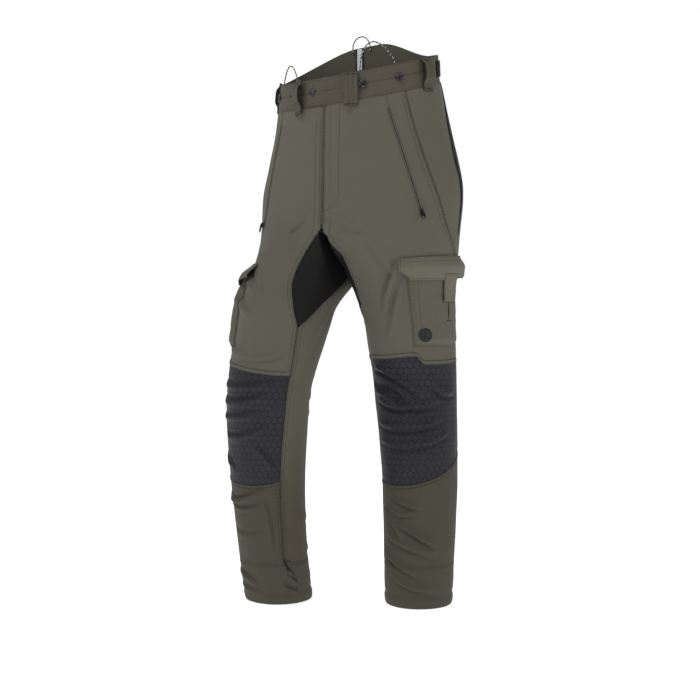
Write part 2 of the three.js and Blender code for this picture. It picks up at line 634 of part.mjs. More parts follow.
// Elastic cord loops for braces, each sewn at both ends inside the band.  The points run
// from the waist centre, in the order of the cord.
const CORD_ROUTES = {
  front_left: [
    [78.6, -105.2, 9], [78.4, -105, 20], [78.6, -104.8, 31], [80, -104.5, 43], [83, -103.5, 55],
    [88, -101.5, 66], [94.5, -99, 73.5], [102, -95.5, 76.5], [110, -91.5, 75], [117.5, -87.5, 70.5],
    [124.5, -83.5, 63.5], [130.5, -79.5, 55], [135.5, -76, 46], [139.5, -73, 36.5], [142, -71.2, 28],
    [142.4, -71, 21],
  ],
  front_right: [
    [-78.6, -105.2, 9], [-78.6, -105, 20], [-81, -104.3, 30], [-86, -102.3, 40.5], [-92, -99.8, 50],
    [-99, -96.5, 57.5], [-106, -93, 61.5], [-113, -89.5, 61.8], [-120, -86, 58.5],
    [-126.5, -82.2, 53], [-132, -78.5, 46.5], [-137, -75, 39.5], [-140.5, -72.5, 33],
    [-142.2, -71.1, 27], [-142.4, -71, 21],
  ],
  back: [
    [-84, 103.8, 127], [-84, 103.6, 137], [-83.5, 103.6, 146], [-81, 104.3, 154],
    [-76.5, 105.6, 160.5], [-71, 107.3, 164.5], [-65, 109, 166], [-59, 110.6, 165],
    [-53.5, 111.9, 161.5], [-49, 113, 156], [-46, 113.6, 149.5], [-44.4, 113.9, 142.5],
    [-44.1, 113.9, 136], [-44.1, 113.9, 130],
  ],
};
for (const [name, route] of Object.entries(CORD_ROUTES)) {
  const path = new THREE.CatmullRomCurve3(route.map(([x, y, z]) => new THREE.Vector3(x, y, WAIST_HEIGHT + z)));
  const section = new THREE.Shape();
  for (let k = 0; k < 8; k++) {
    const turn = k * Math.PI / 4;
    const [x, y] = [Math.cos(turn), Math.sin(turn)].map((value) => value * CORD_DIAMETER / 2);
    if (k === 0) section.moveTo(x, y);
    else section.lineTo(x, y);
  }
  const steps = Math.round(path.getLength() / (2.5 * CORD_DIAMETER));
  piece(`cord_loop_${name}`, new THREE.ExtrudeGeometry(section, { extrudePath: path, steps }), CORD);
}

// ---------------------------------------------------------------- fly
// The zip runs in a straight line behind the front centre.
const flyTop = skin(1, frontSeam(1, FLY_TOP), FLY_TOP);
const flyBottom = skin(1, frontSeam(1, FLY_BOTTOM), FLY_BOTTOM);
const flyUp = flyTop.clone().sub(flyBottom);
const flyLength = flyUp.length();
const flySeat = place(flyTop.clone().add(flyBottom).multiplyScalar(0.5), new THREE.Vector3(0, 1, 0),
  flyUp.clone().normalize());
const CHAIN_WIDTH = 6;
const CHAIN_THICKNESS = 1.4;
const SHIELD_DEPTH = FLY_DEPTH + 3.9;
piece('fly_zip', new THREE.BoxGeometry(CHAIN_WIDTH, CHAIN_THICKNESS, flyLength)
  .translate(0, FLY_DEPTH + CHAIN_THICKNESS / 2, 0), ZIP_TAPE, flySeat);
piece('fly_shield', new THREE.BoxGeometry(FLY_SHIELD_WIDTH, 1.4, flyLength)
  .translate(0, SHIELD_DEPTH + 0.7, 0), OLIVE, flySeat);

const sliderHalf = CHAIN_WIDTH / 2 + ZIP_GAP;
const sliderBack = FLY_DEPTH + CHAIN_THICKNESS + ZIP_GAP;
const FLY_SLIDER_LENGTH = 12;
piece('fly_slider', prism([
  [-sliderHalf - 2, FLY_DEPTH - 0.4], [-sliderHalf, FLY_DEPTH - 0.4], [-sliderHalf, sliderBack],
  [sliderHalf, sliderBack], [sliderHalf, FLY_DEPTH - 0.4], [sliderHalf + 2, FLY_DEPTH - 0.4],
  [sliderHalf + 2, sliderBack + 1.6], [-sliderHalf - 2, sliderBack + 1.6],
], FLY_SLIDER_LENGTH).translate(0, 0, flyLength / 2 - FLY_SLIDER_LENGTH), BLACK_PLASTIC, flySeat);

// The facing backs the left front beside the zip, as far as the stitching that shows outside.
const besideFly = (distance) => (side, height) => {
  const [x, y] = along(LEGS[side], height);
  const [, front] = along(BODY, height);
  return -degrees(Math.atan2(x - distance, front + y));
};
piece('fly_facing', panel(1, {
  from: besideFly(sliderHalf + 4), to: besideFly(FLY_FACING_WIDTH), edges: [FLY_BOTTOM, FLY_TOP],
  columns: 3, rows: [5], depth: [LINING_DEPTH - 0.4, LINING_DEPTH + 0.8],
}), OLIVE);

// ---------------------------------------------------------------- hand pockets
for (const [name, side] of SIDES) {
  const top = skin(side, ZIP_TOP[1], ZIP_TOP[0]);
  const bottom = skin(side, ZIP_BOTTOM[1], ZIP_BOTTOM[0]);
  const run = top.clone().sub(bottom);
  const middle = [(ZIP_TOP[1] + ZIP_BOTTOM[1]) / 2, (ZIP_TOP[0] + ZIP_BOTTOM[0]) / 2];
  const surface = seat((a, h) => skin(side, a, h), ...middle, side);
  const inward = new THREE.Vector3(0, 1, 0).applyQuaternion(surface.quaternion);
  trousers.remove(surface);
  const zip = place(top.clone().add(bottom).multiplyScalar(0.5), inward, run.clone().normalize());

  // The tape is straight, so it lies clear of the roundest point of the hip beneath it.
  const under = [];
  for (let t = 0; t <= 1; t += 0.05)
    for (const edge of [-2, 0, 2])
      under.push(skin(side, mix(ZIP_BOTTOM[1], ZIP_TOP[1], t) + edge, mix(ZIP_BOTTOM[0], ZIP_TOP[0], t)));
  const zipFace = bulge(zip, under) + 0.6;
  const length = run.length();
  piece(`pocket_zip_${name}`, new THREE.BoxGeometry(ZIP_WIDTH, ZIP_THICKNESS, length)
    .translate(0, -zipFace - ZIP_THICKNESS / 2, 0), ZIP_TAPE, zip);
  const sliderFace = zipFace + ZIP_THICKNESS + ZIP_GAP;
  const [sliderWide, sliderThick, sliderLong] = SLIDER_SIZE;
  piece(`pocket_slider_${name}`, new THREE.BoxGeometry(sliderWide, sliderThick, sliderLong)
    .translate(0, -sliderFace - sliderThick / 2, sliderLong / 2 - length / 2), BLACK_PLASTIC, zip);

  // The puller hangs from the top of the slider, over its face.
  const hanger = new THREE.Group();
  hanger.position.set(0, -sliderFace - sliderThick - ZIP_GAP, sliderLong - length / 2);
  zip.add(hanger);
  const drop = [[-PULLER_RADIUS * 0.45, 0]];
  for (let k = 0; k <= 10; k++) {
    const turn = Math.PI * (1 + k / 10);
    drop.push([PULLER_RADIUS * Math.cos(turn),
      -PULLER_LENGTH + PULLER_RADIUS + PULLER_RADIUS * Math.sin(turn)]);
  }
  drop.push([PULLER_RADIUS * 0.45, 0]);
  piece(`pocket_puller_${name}`, prism(drop, PULLER_THICKNESS)
    .rotateX(Math.PI / 2).translate(0, -PULLER_THICKNESS / 2, 0), BLACK_PLASTIC, hanger);

  piece(`pocket_bag_${name}`, panel(side, {
    from: BAG_ANGLES[0], to: BAG_ANGLES[1], edges: BAG_HEIGHTS,
    columns: 4, rows: [Math.round((BAG_HEIGHTS[1] - BAG_HEIGHTS[0]) / 44)],
    depth: [LINING_DEPTH, LINING_DEPTH + BAG_THICKNESS],
  }), OLIVE);
}

// ---------------------------------------------------------------- cargo pockets
const flapSeam = (angle) =>
  mix(FLAP_TOP[0], FLAP_TOP[1], (angle - FLAP_ANGLES[0]) / (FLAP_ANGLES[1] - FLAP_ANGLES[0]));

const POCKET_ROWS = Math.round((FLAP_TOP[0] - POCKET_MOUTH - POCKET_BOTTOM) / 34);

// How far the flap's inner face stands off the leg, by the distance below its seam.
const FLAP_OFFSET = POCKET_DEPTH + LIFT + 1.4;
const FLAP_ROWS = [0, 0.25, 0.52, 1];
const flapStandoff = (drop) => mix(LIFT + 1.4, FLAP_OFFSET, smooth(0, 0.5 * FLAP_DROP, drop));

for (const [name, side] of SIDES) {
  const outside = panel(side, {
    from: POCKET_ANGLES[0], to: POCKET_ANGLES[1],
    edges: [POCKET_BOTTOM, (s, a) => flapSeam(a) - POCKET_MOUTH], columns: 7, rows: [POCKET_ROWS],
    depth: [-LIFT - POCKET_DEPTH, -LIFT],
  });
  const inset = 1.2;
  const inside = panel(side, {
    from: POCKET_ANGLES[0] + inset, to: POCKET_ANGLES[1] - inset,
    edges: [POCKET_BOTTOM + POCKET_WALL, FLAP_TOP[1]], columns: 7, rows: [POCKET_ROWS],
    depth: [POCKET_WALL - LIFT - POCKET_DEPTH, -LIFT - POCKET_WALL],
  });
  piece(`cargo_pocket_${name}`, shape(solid(outside).subtract(solid(inside))), OLIVE);

  const cover = (columns, [from, to], drops, extra) => sheet(columns, drops.length - 1, (u, v, layer) => {
    const angle = mix(from, to, u);
    const drop = drops[Math.round(v * (drops.length - 1))];
    const standoff = flapStandoff(drop) + extra + (1 - layer) * FLAP_THICKNESS;
    return skin(side, angle, flapSeam(angle) - drop, -standoff);
  }, { mirrored: side > 0 });
  const flap = solid(cover(8, FLAP_ANGLES, FLAP_ROWS.map((row) => row * FLAP_DROP), 0));
  const tab = solid(cover(2, TAB_ANGLES, [FLAP_DROP - 10, FLAP_DROP + 2, TAB_DROP], FLAP_THICKNESS / 3));
  const seam = (angle) => skin(side, angle, flapSeam(angle), -flapStandoff(0) - FLAP_THICKNESS);
  const across = seam(FLAP_HINGE_ANGLE + 0.5).sub(seam(FLAP_HINGE_ANGLE - 0.5)).multiplyScalar(side);
  const inward = new THREE.Vector3(0, 0, 1).cross(across).normalize();
  const hinge = place(seam(FLAP_HINGE_ANGLE), inward, across.normalize().cross(inward));
  mounted(`cargo_flap_${name}`, shape(flap.add(tab)), OLIVE, hinge);
}

// ---------------------------------------------------------------- cut-resistant pads
// Above the fork the pad passes behind the hand pocket's bag.
const padDepth = (height) =>
  LINING_DEPTH + 0.6 + (BAG_THICKNESS + 2.2) * smooth(BAG_HEIGHTS[0] - 80, BAG_HEIGHTS[0] - 10, height);
const padDepths = [padDepth, (height) => padDepth(height) + PAD_THICKNESS];

for (const [name, side] of SIDES) {
  piece(`protective_pad_upper_${name}`, panel(side, {
    from: (s, h) => mix(-30, -15, smooth(level(1.6), level(2.05), h)),
    to: (s, h) => mix(104, 66, smooth(level(1.6), level(2.3), h)),
    edges: [aboveKnee, WAIST_HEIGHT - PAD_TOP], columns: 7,
    rows: [Math.round((WAIST_HEIGHT - PAD_TOP - KNEE_HEIGHT) / 46.7)], depth: padDepths,
  }), PAD_FILL);
  piece(`protective_pad_lower_${name}`, panel(side, {
    from: -42, to: 104, edges: [HEM_BAND_HEIGHT + 24, belowKnee], columns: 7, rows: [6],
    depth: padDepths,
  }), PAD_FILL);
}

// ---------------------------------------------------------------- drop to the origin
trousers.position.z = -WAIST_HEIGHT;
trousers.updateMatrixWorld(true);

export default trousers;
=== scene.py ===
# Protective work trousers, standing as worn with one foot forward.  Metres; heights in the
# shape functions are above the hems, and the waist seam is the origin of the frame.
import json
import math
import bpy
import numpy as np
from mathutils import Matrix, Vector

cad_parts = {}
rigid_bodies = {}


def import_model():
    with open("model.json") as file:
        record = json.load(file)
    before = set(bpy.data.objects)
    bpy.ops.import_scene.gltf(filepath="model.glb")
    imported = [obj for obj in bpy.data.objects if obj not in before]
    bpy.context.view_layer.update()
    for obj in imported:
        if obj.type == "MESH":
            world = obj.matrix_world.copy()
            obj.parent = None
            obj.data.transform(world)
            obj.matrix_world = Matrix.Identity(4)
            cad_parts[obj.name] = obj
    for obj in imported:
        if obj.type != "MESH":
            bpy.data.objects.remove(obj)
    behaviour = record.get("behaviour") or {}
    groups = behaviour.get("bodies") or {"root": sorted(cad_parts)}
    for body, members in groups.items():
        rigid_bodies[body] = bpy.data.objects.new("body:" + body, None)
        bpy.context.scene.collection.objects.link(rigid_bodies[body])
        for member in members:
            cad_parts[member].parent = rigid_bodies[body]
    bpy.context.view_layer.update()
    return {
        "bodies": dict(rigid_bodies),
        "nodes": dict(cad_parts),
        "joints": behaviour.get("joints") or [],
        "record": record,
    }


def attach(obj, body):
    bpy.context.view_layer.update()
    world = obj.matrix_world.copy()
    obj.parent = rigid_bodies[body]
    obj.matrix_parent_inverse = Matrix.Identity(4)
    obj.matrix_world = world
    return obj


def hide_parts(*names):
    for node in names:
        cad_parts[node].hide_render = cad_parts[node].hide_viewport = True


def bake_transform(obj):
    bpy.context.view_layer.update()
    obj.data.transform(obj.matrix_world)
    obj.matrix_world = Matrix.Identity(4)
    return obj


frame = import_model()
WAIST = 1.059
SIDES = (("left", 1), ("right", -1))


# ---- Camera, floor and light ----------------------------------------------------------
# The view is a third of the way round from the front toward the wearer's left, level with
# the lower thigh.  Large soft lights from both sides, on a pale floor.
VIEW_TURN = math.radians(35)
VIEW_DISTANCE = 2.2
VIEW_HEIGHT = 0.522 - WAIST
VIEW_SHIFT = 0.016

camera_data = bpy.data.cameras.new("camera")
camera_data.lens = 53.3
camera_data.sensor_width = 36
camera = bpy.data.objects.new("camera", camera_data)
toward = Vector((math.sin(VIEW_TURN), -math.cos(VIEW_TURN), 0))
rightward = Vector((math.cos(VIEW_TURN), math.sin(VIEW_TURN), 0))
camera.location = toward * VIEW_DISTANCE - rightward * VIEW_SHIFT + Vector((0, 0, VIEW_HEIGHT))
camera.rotation_euler = (math.pi / 2, 0, VIEW_TURN)
bpy.context.collection.objects.link(camera)
bpy.context.scene.camera = camera


def soft_light(name, azimuth, height, distance, size, power):
    data = bpy.data.lights.new(name, "AREA")
    data.shape = "DISK"
    data.size = size
    data.energy = power
    light = bpy.data.objects.new(name, data)
    turn = math.radians(azimuth)
    light.location = (math.sin(turn) * distance, -math.cos(turn) * distance, height)
    aim = Vector((0, 0, -0.45)) - light.location
    light.rotation_euler = aim.to_track_quat("-Z", "Y").to_euler()
    bpy.context.collection.objects.link(light)


soft_light("key", -12, 2.1, 1.7, 0.7, 24)
soft_light("fill", 80, 0.6, 2.6, 1.4, 11)
soft_light("left_fill", -60, 0.2, 2.6, 1.6, 5)
soft_light("back_light", 200, 1.0, 2.6, 1.8, 12)

world = bpy.data.worlds.new("studio")
bpy.context.scene.world = world
world.use_nodes = True
background = world.node_tree.nodes["Background"]
background.inputs[0].default_value = (1, 1, 1, 1)
path_kind = world.node_tree.nodes.new("ShaderNodeLightPath")
level_of_light = world.node_tree.nodes.new("ShaderNodeMapRange")
level_of_light.inputs[3].default_value = 0.42
level_of_light.inputs[4].default_value = 1.0
world.node_tree.links.new(path_kind.outputs["Is Camera Ray"], level_of_light.inputs[0])
world.node_tree.links.new(level_of_light.outputs[0], background.inputs[1])
bpy.context.scene.view_settings.view_transform = "Standard"

floor_material = bpy.data.materials.new("floor")
floor_material.use_nodes = True
floor_material.node_tree.nodes["Principled BSDF"].inputs["Base Color"].default_value = (0.95, 0.95, 0.95, 1)
floor_material.node_tree.nodes["Principled BSDF"].inputs["Roughness"].default_value = 0.9
floor_material.node_tree.nodes["Principled BSDF"].inputs["Emission Color"].default_value = (1, 1, 1, 1)
floor_material.node_tree.nodes["Principled BSDF"].inputs["Emission Strength"].default_value = 0.68
floor_mesh = bpy.data.meshes.new("floor")
reach = 60
floor_mesh.from_pydata([(-reach, -reach, -WAIST - 0.001), (reach, -reach, -WAIST - 0.001),
                        (reach, reach, -WAIST - 0.001), (-reach, reach, -WAIST - 0.001)],
                       [], [(0, 1, 2, 3)])
floor_mesh.materials.append(floor_material)
floor = bpy.data.objects.new("floor", floor_mesh)
bpy.context.collection.objects.link(floor)


# ---- Cord loops -----------------------------------------------------------------------
# Three loops of round elastic cord for braces, black flecked with white, each sewn at both
# ends inside the waistband and springy enough to stand up.
class Shade:
    """A value in a material's nodes.  Arithmetic on it adds Math nodes."""

    def __init__(self, tree, socket=None):
        self.tree = tree
        self.socket = socket

    def add(self, kind, settings=None, output=0, **values):
        made = self.tree.nodes.new(kind)
        for key, value in (settings or {}).items():
            if key == "stops":
                ramp = made.color_ramp
                while len(ramp.elements) < len(value):
                    ramp.elements.new(0.5)
                for element, (place, colour) in zip(ramp.elements, value):
                    element.position = place
                    element.color = colour
            else:
                setattr(made, key, value)
        for key, value in values.items():
            slot = made.inputs[int(key[1:])] if key[1:].isdigit() else made.inputs[key.replace("_", " ")]
            if isinstance(value, Shade):
                self.tree.links.new(value.socket, slot)
            else:
                slot.default_value = value
        return Shade(self.tree, made.outputs[output])

    def math(self, operation, *values):
        return self.add("ShaderNodeMath", {"operation": operation},
                        **{f"i{k}": value for k, value in enumerate(values)})

    def __add__(self, other):
        return self.math("ADD", self, other)

    def __sub__(self, other):
        return self.math("SUBTRACT", self, other)

    def __rsub__(self, other):
        return self.math("SUBTRACT", other, self)

    def __mul__(self, other):
        return self.math("MULTIPLY", self, other)

    def __truediv__(self, other):
        return self.math("DIVIDE", self, other)

    __radd__ = __add__
    __rmul__ = __mul__

    def sine(self):
        return self.math("SINE", self)

    def size(self):
        return self.math("ABSOLUTE", self)

    def least(self, other):
        return self.math("MINIMUM", self, other)

    def most(self, other):
        return self.math("MAXIMUM", self, other)

    def fraction(self):
        return self.math("FRACT", self)

    def rise(self, low, high):
        """0 below low and 1 above high, smooth between them."""
        return self.add("ShaderNodeMapRange", {"interpolation_type": "SMOOTHSTEP"},
                        i0=self, i1=low, i2=high, i3=0.0, i4=1.0)

    def axes(self):
        made = self.add("ShaderNodeSeparateXYZ", i0=self)
        outputs = made.socket.node.outputs
        return [Shade(self.tree, socket) for socket in outputs]

    def blend(self, low, high):
        """A colour from low to high by this value."""
        return self.add("ShaderNodeMix", {"data_type": "RGBA"}, 2, i0=self, i6=low, i7=high)

    def noise(self, scale, detail=2.0, rough=0.5):
        """Noise of this position."""
        return self.add("ShaderNodeTexNoise", Vector=self, Scale=scale, Detail=detail, Roughness=rough)

    def bump(self, strength, distance):
        """The normal of a surface of this height."""
        return self.add("ShaderNodeBump", Height=self, Strength=strength, Distance=distance)


def new_finish(name, roughness, sheen=0.0, metallic=0.0, coat=0.0, gloss=0.3):
    """A material with its fixed settings; returns it, its shader and its two positions."""
    material = bpy.data.materials.new(name)
    material.use_nodes = True
    shader = material.node_tree.nodes["Principled BSDF"]
    shader.inputs["Roughness"].default_value = roughness
    shader.inputs["Metallic"].default_value = metallic
    shader.inputs["Coat Weight"].default_value = coat
    shader.inputs["Sheen Weight"].default_value = sheen
    shader.inputs["Sheen Roughness"].default_value = 0.45
    shader.inputs["Specular IOR Level"].default_value = gloss
    start = Shade(material.node_tree)
    here = start.add("ShaderNodeTexCoord", output=3)
    chart = start.add("ShaderNodeUVMap", {"uv_map": "chart"})
    return material, shader, here, chart


def feed(shader, **values):
    """Links what varies over a surface to the shader."""
    for key, value in values.items():
        shader.id_data.links.new(value.socket, shader.inputs[key.replace("_", " ")])


def tone(red, green, blue):
    """A colour given as it looks on a screen, 0 to 255."""
    return tuple((channel / 255) ** 2.2 for channel in (red, green, blue)) + (1.0,)


def collect(name, mesh, material, smooth=True):
    """An object at the origin with one material."""
    mesh.materials.clear()
    mesh.materials.append(material)
    for polygon in mesh.polygons:
        polygon.use_smooth = smooth
    made = bpy.data.objects.new(name, mesh)
    bpy.context.collection.objects.link(made)
    return made


cord_finish, cord_shader, here, chart = new_finish("speckled_cord", 0.6, sheen=0.2)
along_cord, round_cord, _ = chart.axes()
strand = (along_cord * 1400 + round_cord * 6.283).sine()
fleck = (along_cord * 520 - round_cord * 12.566).sine() * (along_cord * 233 + round_cord * 6.283).sine()
feed(cord_shader,
     Base_Color=fleck.rise(0.3, 0.45).blend(tone(12, 12, 13), tone(190, 190, 184)),
     Normal=strand.bump(0.6, 0.0003))

CORD_DIAMETER = 0.0026
CORD_ROUTES = {
    "front_left": [
        (78.6, -105.2, 9), (78.4, -105, 20), (78.6, -104.8, 31), (80, -104.5, 43), (83, -103.5, 55),
        (88, -101.5, 66), (94.5, -99, 73.5), (102, -95.5, 76.5), (110, -91.5, 75),
        (117.5, -87.5, 70.5), (124.5, -83.5, 63.5), (130.5, -79.5, 55), (135.5, -76, 46),
        (139.5, -73, 36.5), (142, -71.2, 28), (142.4, -71, 21)],
    "front_right": [
        (-78.6, -105.2, 9), (-78.6, -105, 20), (-81, -104.3, 30), (-86, -102.3, 40.5),
        (-92, -99.8, 50), (-99, -96.5, 57.5), (-106, -93, 61.5), (-113, -89.5, 61.8),
        (-120, -86, 58.5), (-126.5, -82.2, 53), (-132, -78.5, 46.5), (-137, -75, 39.5),
        (-140.5, -72.5, 33), (-142.2, -71.1, 27), (-142.4, -71, 21)],
    "back": [
        (-84, 103.8, 127), (-84, 103.6, 137), (-83.5, 103.6, 146), (-81, 104.3, 154),
        (-76.5, 105.6, 160.5), (-71, 107.3, 164.5), (-65, 109, 166), (-59, 110.6, 165),
        (-53.5, 111.9, 161.5), (-49, 113, 156), (-46, 113.6, 149.5), (-44.4, 113.9, 142.5),
        (-44.1, 113.9, 136), (-44.1, 113.9, 130)],
}


def tube(points, radius, sides=10):
    """A closed round tube along points, with its length and turn as its UV chart."""
    points = np.asarray(points, float)
    tangents = np.gradient(points, axis=0)
    tangents /= np.linalg.norm(tangents, axis=1)[:, None]
    normal = np.cross(tangents[0], (0.3, 0.5, 0.8))
    lengths = np.concatenate([[0], np.cumsum(np.linalg.norm(np.diff(points, axis=0), axis=1))])
    vertices, faces, charts = [], [], []
    for index, (point, tangent) in enumerate(zip(points, tangents)):
        normal = normal - tangent * np.dot(normal, tangent)
        normal /= np.linalg.norm(normal)
        binormal = np.cross(tangent, normal)
        for k in range(sides):
            turn = 2 * math.pi * k / sides
            vertices.append(point + radius * (math.cos(turn) * normal + math.sin(turn) * binormal))
        if index:
            for k in range(sides):
                after = (k + 1) % sides
                low, high = (index - 1) * sides, index * sides
                faces.append((low + k, low + after, high + after, high + k))
                span = (k / sides, (k + 1) / sides)
                charts += [(lengths[index - 1], span[0]), (lengths[index - 1], span[1]),
                           (lengths[index], span[1]), (lengths[index], span[0])]
    last = (len(points) - 1) * sides
    faces += [tuple(reversed(range(sides))), tuple(range(last, last + sides))]
    charts += [(0, 0)] * (2 * sides)
    mesh = bpy.data.meshes.new("tube")
    mesh.from_pydata([tuple(vertex) for vertex in vertices], [], faces)
    mesh.uv_layers.new(name="chart").data.foreach_set("uv", np.array(charts).ravel())
    return mesh


def smooth_path(points, step):
    """A Catmull-Rom curve through points, sampled about every step."""
    points = np.asarray(points, float)
    padded = np.vstack([2 * points[0] - points[1], points, 2 * points[-1] - points[-2]])
    path = []
    for before, start, stop, after in zip(padded, padded[1:], padded[2:], padded[3:]):
        count = max(2, int(np.linalg.norm(stop - start) / step))
        for t in np.arange(count)[:, None] / count:
            path.append(0.5 * (2 * start + (stop - before) * t
                               + (2 * before - 5 * start + 4 * stop - after) * t ** 2
                               + (3 * start - before - 3 * stop + after) * t ** 3))
    return np.vstack(path + [points[-1]])


for name, route in CORD_ROUTES.items():
    path = smooth_path(np.array(route) / 1000, 0.0015)
    cord = collect(f"cord_loop_{name}", tube(path, CORD_DIAMETER / 2), cord_finish)
    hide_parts(f"cord_loop_{name}")
    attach(cord, "garment")


# ---- Front, back and shin pieces -------------------------------------------------------
# The legs and seat are cut from four-way stretch cloth, tougher and darker below the knee.
# The cloth follows a smooth body surface, with the folds of a standing leg pressed into it.
# Sizes in this section are millimetres; angles go round a leg from its front, outward.
WAIST_HEIGHT, FORK, KNEE = 1059, 742, 450
SEAM_ANGLE = 0.2
SEAM_GAP = 0.6
CLOTH = 2.4
STRIDE = 137


def mix(low, high, share):
    return low + (high - low) * share


def smooth(low, high, value):
    t = np.clip((value - low) / (high - low), 0, 1)
    return t * t * (3 - 2 * t)


def along(rows, x):
    """The values at x of a smooth curve through rows of x, value, value, ..."""
    rows = np.asarray(rows, float)
    last = len(rows) - 1
    x = np.clip(np.asarray(x, float), rows[0, 0], rows[-1, 0])
    i = np.searchsorted(rows[1:last, 0], x, side="left")
    ahead, behind = np.minimum(np.arange(last + 1) + 1, last), np.maximum(np.arange(last + 1) - 1, 0)
    slopes = (rows[ahead, 1:] - rows[behind, 1:]) / (rows[ahead, 0] - rows[behind, 0])[:, None]
    span = (rows[i + 1, 0] - rows[i, 0])[..., None]
    t = (x - rows[i, 0])[..., None] / span
    s = 1 - t
    value = (rows[i, 1:] * s * s * (1 + 2 * t) + rows[i + 1, 1:] * t * t * (1 + 2 * s)
             + span * t * s * (slopes[i] * s - slopes[i + 1] * t))
    return np.moveaxis(value, -1, 0)


def level(landmark):
    """A height in mm from 0 at the hem, 1 at the knee, 2 at the fork and 3 at the waist."""
    return float(np.interp(landmark, [0, 1, 2, 3], [0, KNEE, FORK, WAIST_HEIGHT])) if landmark <= 3 \
        else FORK + (landmark - 2) * (WAIST_HEIGHT - FORK)


def table(rows):
    return [(level(landmark), *values) for landmark, *values in rows]


# Half width, depth in front and depth behind, about the middle of the body.
BODY = table([
    (2.0, 240, 130, 148), (2.35, 238, 126, 165), (2.565, 219, 125, 185), (2.776, 201, 122, 172),
    (2.987, 189, 122, 148), (3.09, 184, 122, 134), (3.445, 180, 122, 123)])
# Centre x, centre y, half width and half depth of each leg, its x counted outward.
LEGS = {
    1: table([
        (0, 130, 34, 69, 69), (0.244, 131, 36, 73.08, 73.08), (0.556, 131, 38, 78.01, 78.01),
        (1, 119, 39, 86, 86), (1.377, 112, 32, 93, 93), (1.65, 108, 22, 99, 100),
        (2, 110, 8, 106, 112), (2.404, 106, 0, 112, 118), (3, 92, 0, 112, 118),
        (3.445, 88, 0, 112, 118)]),
    -1: table([
        (0, 133, 37 - STRIDE, 70, 70), (0.244, 135, 19 - STRIDE, 72, 72),
        (0.556, 135, 4 - STRIDE, 77.5, 77.5), (0.844, 131, -3 - STRIDE, 85, 85),
        (1, 127, -STRIDE, 88, 88), (1.377, 118, 27 - STRIDE, 98, 98),
        (1.65, 112, 49 - STRIDE, 105, 105), (2, 111, 92 - STRIDE, 112, 115),
        (2.404, 106, -8, 112, 118), (3, 92, 0, 112, 118), (3.445, 88, 0, 112, 118)]),
}
FORK_FRONT, FORK_BACK = along(BODY, FORK)[1:]
RISE_FRONT, RISE_BACK = 25, 45
ARCH_RADIUS = 8


def body_reach(x, y, dx, dy, height):
    width, front, back = along(BODY, height)

    def hit(depth):
        a = (dx / width) ** 2 + (dy / depth) ** 2
        b = x * dx / width ** 2 + y * dy / depth ** 2
        c = (x / width) ** 2 + (y / depth) ** 2 - 1
        return (-b + np.sqrt(np.maximum(b * b - a * c, 0))) / a

    in_front = hit(front)
    return np.where(y + in_front * dy <= 0, in_front, hit(back))


def fork_height(y):
    depth = np.where(y < 0, FORK_FRONT, FORK_BACK)
    rise = np.where(y < 0, RISE_FRONT, RISE_BACK)
    return FORK + rise * np.clip(np.abs(y) / depth, 0, 1) ** 2


def skin(side, angle, height, out=0.0):
    """Points of the plain body surface, in mm above the hems."""
    angle, height, out = np.broadcast_arrays(np.asarray(angle, float), np.asarray(height, float), out)
    x, y, half_width, half_depth = along(LEGS[side], height)
    dx, dy = np.sin(np.radians(angle)), -np.cos(np.radians(angle))
    reach = 1 / np.hypot(dx / half_width, dy / half_depth)
    inner = np.where(dx < 0, dx, -1)
    fork = fork_height(np.where(dx < 0, y - x * dy / inner, np.sign(dy) * FORK_BACK))
    bodily = np.maximum(smooth(level(1.51), level(2.4), height),
                        smooth(0.1, -0.55, dx) * smooth(fork - 90, fork, height))
    reach = np.where(bodily > 0, mix(reach, body_reach(x, y, dx, dy, np.maximum(height, FORK * 0.7)), bodily),
                     reach)
    below = np.clip(fork - height, 0, ARCH_RADIUS)
    plane = (x - np.sqrt(2 * ARCH_RADIUS * below - below ** 2)) / -inner
    soft = np.maximum(30 * np.clip((fork - height) / 60, 0, 1), 1e-3)
    share = np.clip(0.5 + 0.5 * (plane - reach) / soft, 0, 1)
    least = mix(plane, reach, share) - soft * share * (1 - share)
    reach = np.where(dx < 0, least, reach) + out
    return np.stack([side * (x + reach * dx), y + reach * dy, height], -1)


